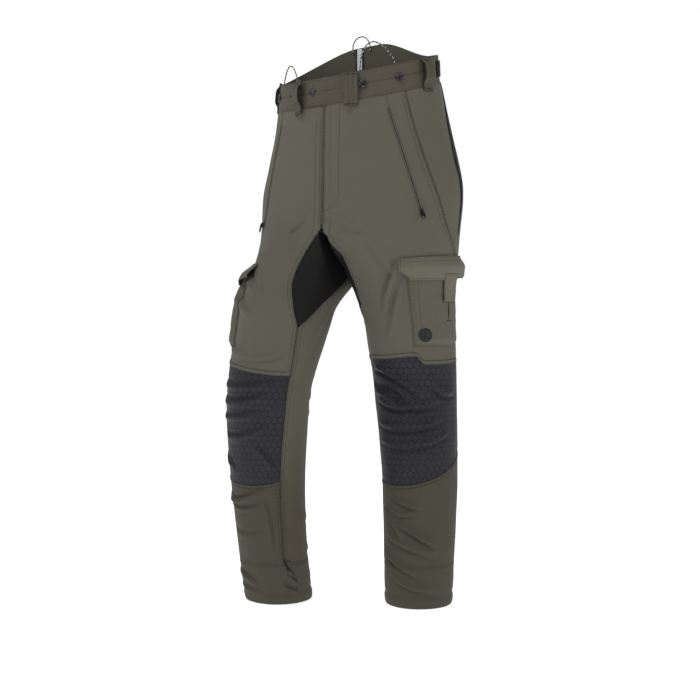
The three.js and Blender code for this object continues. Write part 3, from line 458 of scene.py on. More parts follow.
# Each fold is a ridge with a crease below or beside it: three points of angle and height
# that it curves through, its half width and its height; a negative one is a hollow.
FOLDS = {
    1: [
        (-6, 748, 12, 700, 22, 668, 10, 2.6), (30, 700, 16, 650, 2, 598, 9, 4.6),
        (31, 668, 20, 610, 4, 548, 11, 3.8), (-34, 800, -20, 770, -4, 762, 8, 2.2),
        (-42, 772, -34, 756, -22, 752, 6, 2.0),
        (-34, 488, 2, 470, 40, 432, 8, 4.2), (-44, 452, -6, 436, 24, 398, 11, -5.0),
        (-30, 424, 10, 408, 66, 420, 9, 4.0), (-44, 378, 10, 366, 70, 384, 9, 3.2),
        (-40, 340, 20, 330, 80, 356, 8, 2.6), (48, 470, 70, 440, 96, 436, 9, 3.0),
        (-24, 232, 4, 214, 30, 206, 6, 3.2), (-28, 206, -2, 190, 24, 196, 6, 2.6),
        (-40, 200, -14, 168, 2, 142, 8, 3.2), (-4, 172, 24, 152, 58, 128, 7, 3.8),
        (-30, 146, 10, 128, 60, 110, 9, 2.8), (-48, 108, -10, 92, 40, 62, 9, 3.0),
        (-20, 66, 20, 44, 60, 40, 7, 2.6), (110, 640, 120, 600, 150, 585, 12, 3),
        (130, 470, 180, 445, 230, 470, 9, 4.2), (126, 430, 180, 410, 240, 432, 9, 4.6),
        (140, 395, 190, 380, 236, 396, 9, 3.6), (130, 505, 175, 490, 215, 505, 10, 3.2),
        (150, 765, 190, 735, 230, 700, 12, 4), (130, 800, 165, 775, 200, 742, 12, 3.2),
        (140, 180, 190, 160, 250, 186, 10, 3), (150, 120, 200, 100, 260, 122, 9, 3.2),
        (130, 50, 180, 66, 240, 46, 8, 2.6), (-56, 640, -44, 600, -30, 560, 8, 2.4)],
    -1: [
        (56, 700, 34, 668, 8, 640, 9, 4.0), (60, 664, 36, 622, 6, 590, 9, 3.4),
        (50, 724, 20, 716, -10, 722, 10, 2.2), (-34, 800, -22, 776, -8, 768, 7, 2.0),
        (-46, 520, -20, 506, 20, 512, 8, 2.4), (52, 540, 30, 520, 0, 516, 9, 2.6),
        (64, 462, 10, 446, -46, 452, 8, 3.4), (60, 428, 14, 414, -40, 428, 9, 3.6),
        (62, 396, 20, 384, -38, 396, 8, 3.0), (40, 352, 6, 344, -40, 368, 8, 2.6),
        (70, 320, 44, 300, 16, 276, 9, 3.0), (-20, 330, -38, 300, -48, 280, 7, 2.6),
        (60, 236, 24, 212, -30, 236, 7, 4.2), (50, 212, 10, 196, -28, 206, 6, 2.0),
        (-30, 220, -36, 170, -38, 110, 6, 2.4), (40, 150, 6, 140, -30, 146, 10, 1.8),
        (56, 66, 24, 56, -6, 38, 7, 2.8), (60, 34, 20, 26, -16, 22, 7, 2.2),
        (-52, 96, -60, 70, -72, 58, 5, 3.6), (-58, 64, -70, 48, -84, 46, 4, 3.6),
        (-48, 44, -64, 28, -82, 30, 5, 3.4),
        (130, 470, 180, 445, 230, 470, 9, 4.2), (126, 430, 180, 410, 240, 432, 9, 4.8),
        (140, 395, 190, 380, 236, 396, 9, 3.6), (286, 440, 300, 400, 296, 340, 6, 2.6),
        (130, 505, 175, 490, 215, 505, 10, 3.2), (150, 765, 190, 735, 230, 700, 12, 4),
        (130, 800, 165, 775, 200, 742, 12, 3.2), (250, 620, 268, 560, 280, 500, 10, 2.6),
        (140, 180, 190, 160, 250, 186, 10, 3), (150, 120, 200, 100, 260, 122, 9, 3.2),
        (130, 50, 180, 66, 240, 46, 8, 2.6)],
}
PER_DEGREE = 1.6


def waves(across, up, seed, length):
    """Gentle unevenness from -1 to 1, in waves of about a length."""
    rng = np.random.default_rng(seed)
    total = np.zeros(np.broadcast(across, up).shape)
    for _ in range(9):
        turn, phase = rng.uniform(0, 2 * math.pi, 2)
        step = 2 * math.pi / (length * rng.uniform(0.7, 1.8))
        total += np.sin(step * (across * math.cos(turn) + up * math.sin(turn)) + phase)
    return total / 4.5


FOLD_WIDTH, FOLD_RISE = 0.8, 1.9     # how much narrower and higher than listed each fold is pressed
FOLD_LIMITS = -7.5, 8


def fold_height(side, angle, height):
    """How far the cloth stands out of the plain surface, in mm."""
    angle = (np.asarray(angle, float) + 75) % 360 - 75
    across, up = angle * PER_DEGREE, np.asarray(height, float)
    total = 0.9 * waves(across, up, 5 + side, 120) + 0.35 * waves(across, up, 9 + side, 38)
    total *= smooth(1040, 980, up)
    for a0, h0, a1, h1, a2, h2, width, rise in FOLDS[side]:
        width = width * FOLD_WIDTH
        t = np.linspace(0, 1, 13)
        bend_a, bend_h = 2 * a1 - (a0 + a2) / 2, 2 * h1 - (h0 + h2) / 2
        line_a = ((1 - t) ** 2 * a0 + 2 * t * (1 - t) * bend_a + t * t * a2) * PER_DEGREE
        line_h = (1 - t) ** 2 * h0 + 2 * t * (1 - t) * bend_h + t * t * h2
        best = np.full(across.shape, 1e9)
        place, signed = np.zeros(across.shape), np.zeros(across.shape)
        for k in range(12):
            ex, ey = line_a[k + 1] - line_a[k], line_h[k + 1] - line_h[k]
            share = np.clip(((across - line_a[k]) * ex + (up - line_h[k]) * ey) / (ex * ex + ey * ey), 0, 1)
            px, py = across - line_a[k] - share * ex, up - line_h[k] - share * ey
            far = np.hypot(px, py)
            near = far < best
            best = np.where(near, far, best)
            place = np.where(near, (k + share) / 12, place)
            signed = np.where(near, np.sign(ex * py - ey * px) * far, signed)
        taper = (np.sqrt(np.clip(np.sin(math.pi * np.clip(place, 0, 1)), 0, 1))
                 * np.exp(-(np.maximum(best - 3 * width, 0)) ** 2))
        ridge = np.exp(-(signed / width) ** 2)
        crease = 0.85 * np.exp(-((signed + 1.3 * width) / (0.55 * width)) ** 2)
        total = total + FOLD_RISE * rise * taper * (ridge - crease)
    # The cloth hangs smoother behind, and outside the leg that trails.
    total = total * (1 - 0.62 * smooth(92, 124, angle))
    if side < 0:
        total = total * (1 - 0.6 * smooth(26, 52, angle) * smooth(140, 60, angle))
    return np.clip(total, *FOLD_LIMITS)


def cloth(side, angle, height, out=0.0):
    """Points of the draped cloth, in mm above the hems."""
    return skin(side, angle, height, out + fold_height(side, angle, height))


def to_frame(points):
    """Millimetres above the hems as metres from the waist."""
    return np.asarray(points, float) * 0.001 - np.array([0, 0, WAIST])


def centre_angle(side, height, behind):
    x, y = along(LEGS[side], height)[:2]
    _, front, back = along(BODY, height)
    if behind:
        return 180 + np.degrees(np.arctan2(x, back - y))
    return -np.degrees(np.arctan2(x, front + y))


INSEAM = table([(0, -57), (0.556, -58), (1, -64), (1.404, -57)])
SIDE_SEAM = table([(0, 118), (1.65, 115), (1.873, 99), (2.12, 75), (2.909, 46)])


def front_seam(side, height):
    height = np.asarray(height, float)
    top = FORK + RISE_FRONT
    rows = table([(1.404, -57), (1.548, -46), (1.753, -38)]) + [(top, float(centre_angle(side, top, False)))]
    return np.where(height >= top, centre_angle(side, height, False),
                    np.where(height <= level(1.404), along(INSEAM, height)[0], along(rows, height)[0]))


def back_seam(side, height):
    height = np.asarray(height, float)
    top = FORK + RISE_BACK
    rows = (table([(1.404, 303), (1.572, 274), (1.668, 258), (1.856, 232)])
            + [(top, float(centre_angle(side, top, True)))])
    return np.where(height >= top, centre_angle(side, height, True),
                    np.where(height <= level(1.404), 360 + along(INSEAM, height)[0], along(rows, height)[0]))


def side_seam(side, height):
    return along(SIDE_SEAM, height)[0]


def waist_edge(side, angle):
    height = np.full(np.shape(angle), float(WAIST_HEIGHT))
    for _ in range(12):
        height = WAIST_HEIGHT + 0.34 * skin(side, angle, height)[..., 1]
    return height - SEAM_GAP / 2


def knee_top(side, angle):
    if side > 0:
        return 508 + 5 * smooth(-10, 34, angle) - 16 * smooth(36, 46, angle) + 4 * smooth(60, 110, angle)
    return 508 - 34 * smooth(110, -60, angle)


def knee_bottom(side, angle):
    return 246 + 74 * ((np.asarray(angle, float) + 10) / 135) ** 2


def spaced(count, length):
    """Shares from 0 to 1, closer together within a few mm of both ends."""
    near = np.array([0, 0.5, 1.2, 2.2, 3.6]) / length
    return np.concatenate([near, np.linspace(6 / length, 1 - 6 / length, count), 1 - near[::-1]])


def cloth_piece(name, points, inner, uv, edge, material, mirrored=False, ring=False):
    """A closed piece of cloth between two grids of points, in mm above the hems."""
    rows, columns = points.shape[:2]
    wide = columns
    vertices = to_frame(np.concatenate([points.reshape(-1, 3), inner.reshape(-1, 3)]))
    index = np.arange(rows * columns).reshape(rows, columns)
    count = rows * columns
    if ring:
        index = np.hstack([index, index[:, :1]])
        wide += 1
    uv, edge = uv.reshape(rows, -1, 2), edge.reshape(rows, -1, 2)
    chart_index = np.arange(rows * uv.shape[1]).reshape(rows, -1)
    faces, charts = [], []

    def quads(a, b, c, d, shift, ca, cb, cc, cd):
        faces.append(np.stack([a, b, c, d], -1).reshape(-1, 4) + shift)
        charts.append(np.stack([ca, cb, cc, cd], -1).reshape(-1, 4))

    g, u = index, chart_index
    quads(g[:-1, :-1], g[:-1, 1:], g[1:, 1:], g[1:, :-1], 0, u[:-1, :-1], u[:-1, 1:], u[1:, 1:], u[1:, :-1])
    quads(g[:-1, :-1], g[1:, :-1], g[1:, 1:], g[:-1, 1:], count, u[:-1, :-1], u[1:, :-1], u[1:, 1:],
          u[:-1, 1:])
    rims = [(g[0], u[0]), (g[-1, ::-1], u[-1, ::-1])]
    if not ring:
        rims += [(g[::-1, 0], u[::-1, 0]), (g[:, -1], u[:, -1])]
    for rim, chart_rim in rims:
        quads(rim[:-1], rim[:-1] + count, rim[1:] + count, rim[1:], 0,
              chart_rim[:-1], chart_rim[:-1], chart_rim[1:], chart_rim[1:])
    faces, charts = np.concatenate(faces), np.concatenate(charts)
    if mirrored:
        faces, charts = faces[:, ::-1], charts[:, ::-1]
    mesh = bpy.data.meshes.new(name)
    mesh.from_pydata(vertices.tolist(), [], faces.tolist())
    mesh.uv_layers.new(name="chart").data.foreach_set("uv", uv.reshape(-1, 2)[charts.ravel()].ravel())
    mesh.uv_layers.new(name="edge").data.foreach_set("uv", edge.reshape(-1, 2)[charts.ravel()].ravel())
    return collect(name, mesh, material)


def leg_panel(name, side, material, start, stop, bottom, top, columns, rows, out=0.0, thickness=CLOTH,
              surface=cloth, seam=1.1, flush=False):
    """A piece of cloth between two upright seams and two level edges, its rim turned in.
    A flush one meets the hem below it without a seam."""
    across = spaced(columns, 250 if columns > 30 else 120)
    up = spaced(rows, 500 if rows > 60 else 250)
    u, v = np.meshgrid(across, up)
    angle = np.zeros(u.shape)
    for _ in range(10):
        height = mix(bottom(side, angle), top(side, angle), v)
        low, high = start(side, height) + SEAM_ANGLE, stop(side, height) - SEAM_ANGLE
        angle = mix(low, high, u)
    girth = (high - low) * PER_DEGREE
    tall = top(side, angle) - bottom(side, angle)
    from_side = np.minimum(u, 1 - u) * girth
    from_end = (1 - v if flush else np.minimum(v, 1 - v)) * tall
    turned = seam * (np.exp(-from_side / 1.1) + np.exp(-from_end / 1.1))
    outer = surface(side, angle, height, out - np.minimum(turned, seam))
    inner = surface(side, angle, height, out - thickness)
    if stop is back_seam:
        # The two back panels meet on the middle plane, from the fork to the waist.
        fork_top = FORK + RISE_BACK
        pull = np.exp(-(1 - u) * girth / 6) * smooth(fork_top - 25, fork_top, height[:, -1:])
        for sheet in (outer, inner):
            sheet[..., 0] -= pull * (sheet[:, -1:, 0] + side * 0.04)
    uv = np.stack([angle * PER_DEGREE, height], -1) * 0.001
    edge = np.stack([from_side, from_end], -1) * 0.001
    return cloth_piece(name, outer, inner, uv, edge, material, mirrored=side < 0)


def cloth_finish(name, colour, weave=1.0, mottle=0.05, roughness=0.82, sheen=0.03, dark=0.66, lower=None):
    """Stretch cloth: fine twill, slight unevenness of dye, puckers beside its seams, and painted shade
    darkening the colour along its edges and stitch grooves, where dark scales the shaded colour.
    """
    material, shader, here, chart = new_finish(name, roughness, sheen=sheen)
    across, up, _ = chart.axes()
    edge = here.add("ShaderNodeUVMap", {"uv_map": "edge"})
    beside, end, _ = edge.axes()
    nearest = beside.least(end)
    twill = ((across + up) * 5200).sine() * 0.5 + (across * 9400).sine() * (up * 8800).sine() * 0.5
    slub = chart.noise(900.0, 3.0)
    cloud = here.noise(9.0, 4.0, 0.6)
    ripple = ((beside.rise(0.014, 0.002)) * (up * 820 + cloud * 9).sine()
              + (end.rise(0.014, 0.002)) * (across * 820 + cloud * 9).sine())
    groove = (beside - 0.0030).size().rise(0.0009, 0.0002) + (beside - 0.0085).size().rise(0.0009, 0.0002)
    height = twill * (0.05 * weave) + slub * 0.1 + ripple * 0.55 - groove * 0.5
    shade = (cloud - 0.5) * (6 * mottle) + (slub - 0.5) * mottle + twill * 0.02 + 0.5
    low = tuple(channel * 0.86 for channel in colour[:3]) + (1,)
    high = tuple(min(1, channel * 1.15) for channel in colour[:3]) + (1,)
    # rim is a painted shade colour: the cloth is darkened within about 2 mm of each edge and along the stitch
    # grooves, standing in for shadow in the seams.
    rim = tuple(channel * dark for channel in colour[:3]) + (1,)
    plain = shade.rise(0.0, 1.0).blend(low, high)
    if lower:
        plain = here.add("ShaderNodeMix", {"data_type": "RGBA"}, 2, i0=up.rise(0.42, 0.16), i6=plain,
                         i7=lower)
    # The painted seam shade is mixed into the cloth's own colour here.
    colour_with_seam_shade = here.add("ShaderNodeMix", {"data_type": "RGBA"}, 2,
                     i0=nearest.rise(0.0022, 0.0) + groove * 0.25, i6=plain, i7=rim)
    feed(shader, Base_Color=colour_with_seam_shade, Normal=height.bump(0.55, 0.0008),
         Roughness=slub.rise(0.2, 0.8) * 0.12 + (roughness - 0.06))
    return material


olive_cloth = cloth_finish("olive_cloth", tone(89, 87, 76))
back_cloth = cloth_finish("back_cloth", tone(89, 87, 75), lower=tone(74, 70, 59))
shin_cloth = cloth_finish("dark_olive_cloth", tone(70, 67, 57), weave=1.3)


def knee_bend(piece, side):
    """Bakes a piece's transform into its mesh."""
    x, y = along(LEGS[side], KNEE)[:2]
    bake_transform(piece)


def level_line(height):
    return lambda side, angle: np.full(np.shape(angle), float(height))


HEM_BAND = 88
for word, side in SIDES:
    front = leg_panel(
        f"front_panel_{word}", side, olive_cloth, front_seam, side_seam,
        lambda s, a: knee_top(s, a) + SEAM_GAP / 2, waist_edge, 70, 130)
    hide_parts(f"front_panel_{word}")
    knee_bend(front, side)

    back = leg_panel(f"back_panel_{word}", side, back_cloth, side_seam, back_seam,
                     level_line(HEM_BAND - 0.2), waist_edge, 80, 230, flush=True)
    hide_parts(f"back_panel_{word}", f"shin_back_{word}")
    knee_bend(back, side)

    shin = leg_panel(f"shin_front_{word}", side, shin_cloth, front_seam, side_seam,
                     level_line(HEM_BAND - 0.2), lambda s, a: knee_bottom(s, a) - SEAM_GAP / 2, 70, 50,
                     flush=True)
    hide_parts(f"shin_front_{word}")
    knee_bend(shin, side)



# ---- Hem bands ------------------------------------------------------------------------
# The bottom of each leg is a deep turned-up hem, held by two rows of stitches at its top
# and creased a little above its folded edge.
def ring_band(name, side, material, bottom, top, rows, thickness, surface=cloth, columns=120):
    """A closed band round a leg between two level heights."""
    angle = np.linspace(-58, 302, columns + 1)[:-1]
    tall = np.concatenate([[0, 1.0, 2.4], np.linspace(4, top - bottom - 4, rows),
                           [top - bottom - 1.6, top - bottom - 0.6, top - bottom]])
    a, up = np.meshgrid(angle, tall)
    turned = 1.1 * np.exp(-up / 1.1)
    outer = surface(side, a, bottom + up, -turned)
    inner = surface(side, a, bottom + up, -thickness)
    wide = np.append(angle, 302)
    wa, wh = np.meshgrid(wide, tall)
    uv = np.stack([wa * PER_DEGREE, bottom + wh], -1) * 0.001
    edge = np.stack([np.full(wa.shape, 60.0), wh], -1) * 0.001
    return cloth_piece(name, outer, inner, uv, edge, material, mirrored=side < 0, ring=True)


def hem_shape(side, angle, height, out=0.0):
    """The hem bulges between its stitches and its fold."""
    bulge = 0.9 * np.sin(np.pi * np.clip(height / HEM_BAND, 0,
                                         1)) + 1.3 * np.exp(-((height - 12) / 9.0) ** 2) \
        - 1.4 * np.exp(-((height - 25) / 4.0) ** 2)
    return cloth(side, angle, height, out + bulge)


for word, side in SIDES:
    hem = ring_band(f"hem_band_{word}", side, shin_cloth, 0, HEM_BAND - 0.4, 22, 2.8, surface=hem_shape)
    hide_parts(f"hem_band_{word}")
    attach(hem, f"{word}_shin")


# ---- Knee panels ----------------------------------------------------------------------
# Charcoal coated cloth printed with raised hatched hexagons covers the front of each knee.
# An olive band edges it above, with a step in it on the left leg, and a binding below.
knee_cloth, knee_shader, here, chart = new_finish("hexagon_knee_cloth", 0.62, gloss=0.25)
HEXAGON = 0.0142
across, up, _ = chart.axes()
column, row = across / HEXAGON, up / HEXAGON
first_x = (column + 400).fraction() - 0.5
first_y = ((row / 1.7320508 + 400).fraction() - 0.5) * 1.7320508
second_x = (column + 400.5).fraction() - 0.5
second_y = ((row / 1.7320508 + 400.5).fraction() - 0.5) * 1.7320508
first_far = first_x * first_x + first_y * first_y
second_far = second_x * second_x + second_y * second_y
chosen = first_far.math("LESS_THAN", first_far, second_far)
hex_x = chosen * first_x + (1 - chosen) * second_x
hex_y = chosen * first_y + (1 - chosen) * second_y
hex_reach = hex_x.size().most(hex_x.size() * 0.5 + hex_y.size() * 0.8660254)
pad = hex_reach.rise(0.49, 0.455)
hatch = ((across * 0.72 + up * 1.0) * 2200).sine().rise(-0.3, 0.3)
cloud = here.noise(13.0, 3.0)
grain = chart.noise(2400.0, 2.0)
relief = pad * 0.7 + pad * hatch * 0.45 + grain * 0.12
knee_shade = pad * (hatch * 0.6 + 0.36) + (cloud - 0.5) * 0.4
feed(knee_shader,
     Base_Color=knee_shade.rise(0.0, 1.0).blend(tone(3, 3, 4), tone(52, 51, 58)),
     Normal=relief.bump(0.6, 0.0009), Roughness=0.78 - pad * 0.22)


for word, side in SIDES:
    panel = leg_panel(f"knee_panel_{word}", side, knee_cloth, front_seam, side_seam,
                      lambda s, a: knee_bottom(s, a) + SEAM_GAP / 2,
                      lambda s, a: knee_top(s, a) - SEAM_GAP / 2, 70, 80)
    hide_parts(f"knee_panel_upper_{word}", f"knee_panel_lower_{word}")
    knee_bend(panel, side)

    trim = leg_panel(f"knee_binding_{word}", side, olive_cloth,
                     lambda s, h: front_seam(s, h) + 0.4, lambda s, h: side_seam(s, h) - 0.4,
                     lambda s, a: knee_top(s, a) - 4.5, lambda s, a: knee_top(s, a) + 4.5, 70, 4,
                     out=1.3, thickness=1.0, seam=0.7)
    knee_bend(trim, side)
    lower = leg_panel(f"knee_lower_binding_{word}", side, shin_cloth,
                      lambda s, h: front_seam(s, h) + 0.4, lambda s, h: side_seam(s, h) - 0.4,
                      lambda s, a: knee_bottom(s, a) - 6, lambda s, a: knee_bottom(s, a) + 1.5, 70, 3,
                      out=1.3, thickness=1.0, seam=0.7)
    knee_bend(lower, side)


# ---- Crotch gusset and side inserts ----------------------------------------------------
# A lens of smooth navy-black stretch cloth joins the thighs and lets the legs part.  Two
# narrow inserts of the same cloth taper down the hips behind the hand pockets.
# dark=0.6 sets how deep its painted seam shade is.
black_stretch = cloth_finish("black_stretch_cloth", tone(5, 6, 10), weave=0.7, mottle=0.04,
                             roughness=0.72, sheen=0.0, dark=0.6)
GUSSET_TIP = level(1.42)


def gusset_point(u, v, depth):
    points = np.zeros(u.shape + (3,))
    y = mix(-FORK_FRONT + SEAM_GAP, FORK_BACK - SEAM_GAP, v)
    fork = fork_height(y)
    for side in (1, -1):
        here_side = (u < 0.5) if side > 0 else (u >= 0.5)
        share = 1 - np.abs(2 * u - 1)
        climb = np.clip(share / 0.86, 0, 1)
        turn = np.clip((share - 0.86) / 0.14, 0, 1) * math.pi / 2
        height = mix(GUSSET_TIP, fork - ARCH_RADIUS, climb) + ARCH_RADIUS * np.sin(turn)
        x, leg_y = along(LEGS[side], fork)[:2]
        crossing = np.degrees(np.arctan2(-x, leg_y - y))
        low, high = front_seam(side, fork), back_seam(side, fork) - 360
        place = np.clip((crossing - low) / (high - low), 0, 1)
        angle = mix(front_seam(side, height) - 0.4, back_seam(side, height) - 360 + 0.4, place)
        away = np.minimum(place, 1 - place) * np.abs(low - high) * PER_DEGREE
        fade = smooth(0, 26, away)
        surface = skin(side, angle, height, -depth - 1.0 * np.exp(-away / 1.1)
                       + fade * (0.5 * fold_height(side, angle, height)) * (turn <= 0)
                       + (1 - fade) * fold_height(side, angle, height) * (1 - turn / (math.pi / 2)))
        points = np.where(here_side[..., None], surface, points)
    return points, fork


across_share = np.linspace(0, 1, 161)
front_share = np.concatenate([[0, 0.003, 0.008], np.linspace(0.02, 0.98, 60), [0.992, 0.997, 1]])
u, v = np.meshgrid(across_share, front_share)
outer, fork = gusset_point(u, v, 0.0)
inner, _ = gusset_point(u, v, CLOTH)
inner[..., 2] += 1.2 * np.sin(math.pi * v) * np.clip((1 - np.abs(2 * u - 1) - 0.86) / 0.14, 0, 1) \
    + CLOTH * np.clip((1 - np.abs(2 * u - 1) - 0.86) / 0.14, 0, 1)
uv = np.stack([u * 0.45, v * 0.27], -1)
edge = np.stack([np.minimum(v, 1 - v) * 0.2, np.full(u.shape, 0.05)], -1)
gusset = cloth_piece("crotch_gusset", outer, inner, uv, edge, black_stretch)
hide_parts("crotch_gusset")
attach(gusset, "garment")

INSERT_FRONT = table([(2.04, 98), (2.35, 100), (2.565, 101), (3, 121)])
INSERT_BACK = table([(2.04, 99.5), (2.35, 106), (2.565, 112), (3, 150)])
for word, side in SIDES:
    insert = leg_panel(f"side_insert_{word}", side, black_stretch,
                       lambda s, h: along(INSERT_FRONT, h)[0], lambda s, h: along(INSERT_BACK, h)[0],
                       level_line(level(2.04)), waist_edge, 10, 80, out=1.9, thickness=1.1, seam=0.8)
    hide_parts(f"side_panel_{word}")
    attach(insert, "garment")


# ---- Waistband ------------------------------------------------------------------------
# A stiff band of two layers, low in front and raised behind, seamed along its middle and
# stitched along both edges.  The left end overlaps at the front.
BAND_HEIGHT = 57
BAND_THICKNESS = 3
BAND_JOIN = 100      # body angle where the front pieces meet the back piece


def belt(angle, up, out=0.0):
    """Points of the waistband by body angle and distance above the waist seam."""
    angle, up, out = np.broadcast_arrays(np.asarray(angle, float), np.asarray(up, float), out)
    dx, dy = np.sin(np.radians(angle)), -np.cos(np.radians(angle))
    zero = np.zeros(angle.shape)
    height = WAIST_HEIGHT + up
    for _ in range(12):
        reach = body_reach(zero, zero, dx, dy, height)
        height = WAIST_HEIGHT + 0.34 * reach * dy + up
    reach = reach + out
    return np.stack([reach * dx, reach * dy, height], -1)


def band_top(angle):
    away = np.abs((np.asarray(angle, float) + 157 + 540) % 360 - 180)
    return BAND_HEIGHT + 46 * smooth(78, 12, away)


def draped_belt(angle, up, out=0.0):
    """The band with the slight waves of worn cloth."""
    wave = 0.5 * waves(np.asarray(angle, float) * 2.6, np.asarray(up, float), 3, 60)
    return belt(angle, up, out + wave)


def band_piece(name, start, stop, bottom, top, columns, rows, out, thickness, material, middle=None,
               open_start=False, open_stop=False):
    length = abs(stop - start) * 2.7
    tall = np.max(top(np.array([start, stop]))) if callable(top) else top
    u, v = np.meshgrid(spaced(columns, length), spaced(rows, max(tall, 30)))
    angle = mix(start, stop, u)
    high = top(angle) if callable(top) else top
    low = bottom(angle) if callable(bottom) else bottom
    up = mix(low, high, v)
    from_side = np.minimum(np.where(open_start, 1.0, u), np.where(open_stop, 1.0, 1 - u)) * length
    from_end = np.minimum(v, 1 - v) * (high - low)
    if open_start:
        out = out + 3.0 * smooth(7, 0.4, angle)
    turned = np.minimum(1.0 * (np.exp(-from_side / 1.1) + np.exp(-from_end / 1.1)), 1.0)
    if middle is not None:
        line = np.abs(up - middle(angle))
        turned = turned + 0.8 * np.exp(-(line / 1.3) ** 2) - 0.35 * np.exp(-((line - 4) / 3) ** 2)
        from_end = np.minimum(from_end, np.where(line < 12, line, 60))
    outer = draped_belt(angle, up, out - turned)
    inner = draped_belt(angle, up, out - thickness)
    uv = np.stack([angle * 2.7, up], -1) * 0.001
    edge = np.stack([from_side, from_end], -1) * 0.001
    return cloth_piece(name, outer, inner, uv, edge, material, mirrored=stop < start)


band_cloth = cloth_finish("waistband_cloth", tone(78, 74, 64))
middle_seam = lambda angle: 0.52 * band_top(angle)
for name, start, stop in (("waistband_front_left", 0.2, BAND_JOIN),
                          ("waistband_front_right", -BAND_JOIN, -0.2),
                          ("waistband_back", BAND_JOIN - 0.03, 360.03 - BAND_JOIN)):
    band = band_piece(name, start, stop, -1.0, band_top, 100, 22, 0.3, BAND_THICKNESS, band_cloth,
                      middle=middle_seam, open_start=name == "waistband_front_left")
    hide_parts(name)
    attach(band, "garment")

tab = band_piece("waist_tab", -21, 0.1, 1.5, BAND_HEIGHT - 1, 18, 12, 0.9 + CLOTH, CLOTH, band_cloth,
                 middle=middle_seam, open_stop=True)
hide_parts("waist_tab")
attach(tab, "overlap_tab")


# ---- Belt loops -----------------------------------------------------------------------
# Six wide straps, folded and stitched in ribs, lie flat at both ends and stand off the band
# between them so that a broad belt passes behind.
def unit(vector):
    vector = np.asarray(vector, float)
    return vector / np.linalg.norm(vector)


def seat_frame(here, inward, up):
    """Where a flat piece is fixed: its origin, its across, outward and up directions."""
    up = unit(up)
    inward = unit(inward - up * np.dot(inward, up))
    return np.asarray(here, float), np.cross(inward, up), -inward, up


def stand_off(frame, points):
    origin, _, outward, _ = frame
    return float(np.max((np.asarray(points).reshape(-1, 3) - origin) @ outward))


def place_grid(frame, across, out, up):
    origin, right, outward, top = frame
    return origin + across[..., None] * right + out[..., None] * outward + up[..., None] * top


LOOP_WIDTH = 30
LOOPS = {"front_left": 29, "front_right": -29, "side_left": 83, "side_right": -83,
         "back_left": 162, "back_right": -162}
LOOP_LINE = [(0, -12), (0, -6), (0.4, 0), (2.2, 5), (6.2, 10), (8, 16), (8.4, 28), (8, 37),
             (6.4, 42), (2.6, 46), (0.6, 50), (0, 56)]
loop_frames = {}
for name, turn in LOOPS.items():
    low, high = belt(turn, -12), belt(turn, BAND_HEIGHT)
    inward = np.array([-math.sin(math.radians(turn)), math.cos(math.radians(turn)), 0])
    frame_here = seat_frame(belt(turn, 0), inward, high - low)
    feet_turn, feet_up = np.meshgrid([-7, -3.5, 0, 3.5, 7], [-20, -4, 4, 48, 53, 57])
    base = stand_off(frame_here, belt(turn + feet_turn, feet_up)) + 0.45
    loop_frames[name] = (frame_here, base)
    line = smooth_path([(d, h, 0) for d, h in LOOP_LINE], 1.0)[:, :2]
    steps = np.linspace(-1, 1, 33)
    a, row = np.meshgrid(steps, np.arange(len(line)))
    rib = 0.30 * np.cos(a * 3 * math.pi) - 0.55 * (np.abs(a) > 0.965)
    taper = 1 - 0.10 * smooth(-4, -12, line[row, 1])
    outer = place_grid(frame_here, a * LOOP_WIDTH / 2 * taper, base + line[row, 0] + 1.9 + rib,
                       line[row, 1] + 0.04 * a * LOOP_WIDTH / 2)
    inner = place_grid(frame_here, a * LOOP_WIDTH / 2 * taper, base + line[row, 0] - 0.1,
                       line[row, 1] + 0.04 * a * LOOP_WIDTH / 2)
    uv = np.stack([a * LOOP_WIDTH / 2, line[row, 1]], -1) * 0.001
    edge = np.stack([(1 - np.abs(a)) * LOOP_WIDTH / 2, np.minimum(line[row, 1] + 12, 56 - line[row, 1])],
                    -1) * 0.001
    strap = cloth_piece(f"belt_loop_{name}", outer, inner, uv, edge, band_cloth)
    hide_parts(f"belt_loop_{name}")
    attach(strap, "garment")


# ---- Brace buttons and waist stud -------------------------------------------------------
# Moulded black buttons for braces, sunk in the middle, with crossed thread.
# A plain press stud holds the end of the overlap.
button_black, button_shader, here, chart = new_finish("black_button", 0.32, coat=0.4, gloss=0.5)
scuff = here.noise(900.0, 4.0)
feed(button_shader, Base_Color=scuff.rise(0.35, 0.75).blend(tone(14, 14, 15), tone(32, 32, 34)),
     Roughness=scuff * 0.18 + 0.24, Normal=here.noise(1500.0, 2.0).bump(0.08, 0.0003))
button_thread, thread_shader, here, chart = new_finish("thread", 0.7)
ply = here.noise(3000.0, 2.0)
feed(thread_shader, Base_Color=ply.blend(tone(26, 24, 20), tone(52, 49, 41)), Normal=ply.bump(0.3, 0.0002))


def turned(profile, frame, sides=40):
    """A closed turned shape about a seat's outward axis, from its base to its middle."""
    turns = np.linspace(0, 2 * math.pi, sides, endpoint=False)
    vertices = [place_grid(frame, np.array(r * np.cos(turns)), np.full(sides, out),
                           np.array(r * np.sin(turns)))
                for r, out in profile]
    faces = []
    for k in range(len(profile) - 1):
        for i in range(sides):
            j = (i + 1) % sides
            faces.append((k * sides + i, k * sides + j, (k + 1) * sides + j, (k + 1) * sides + i))
    faces += [tuple(reversed(range(sides))), tuple(range((len(profile) - 1) * sides, len(profile) * sides))]
    faces = [tuple(reversed(face)) for face in faces]
    return np.concatenate(vertices), faces


def joined(name, parts, material, smooth_faces=True):
    vertices, faces, first = [], [], 0
    for points, part_faces in parts:
        vertices.append(np.asarray(points).reshape(-1, 3))
        faces += [tuple(first + k for k in face) for face in part_faces]
        first += len(vertices[-1])
    mesh = bpy.data.meshes.new(name)
    mesh.from_pydata(to_frame(np.concatenate(vertices)).tolist(), [], faces)
    return collect(name, mesh, material, smooth_faces)


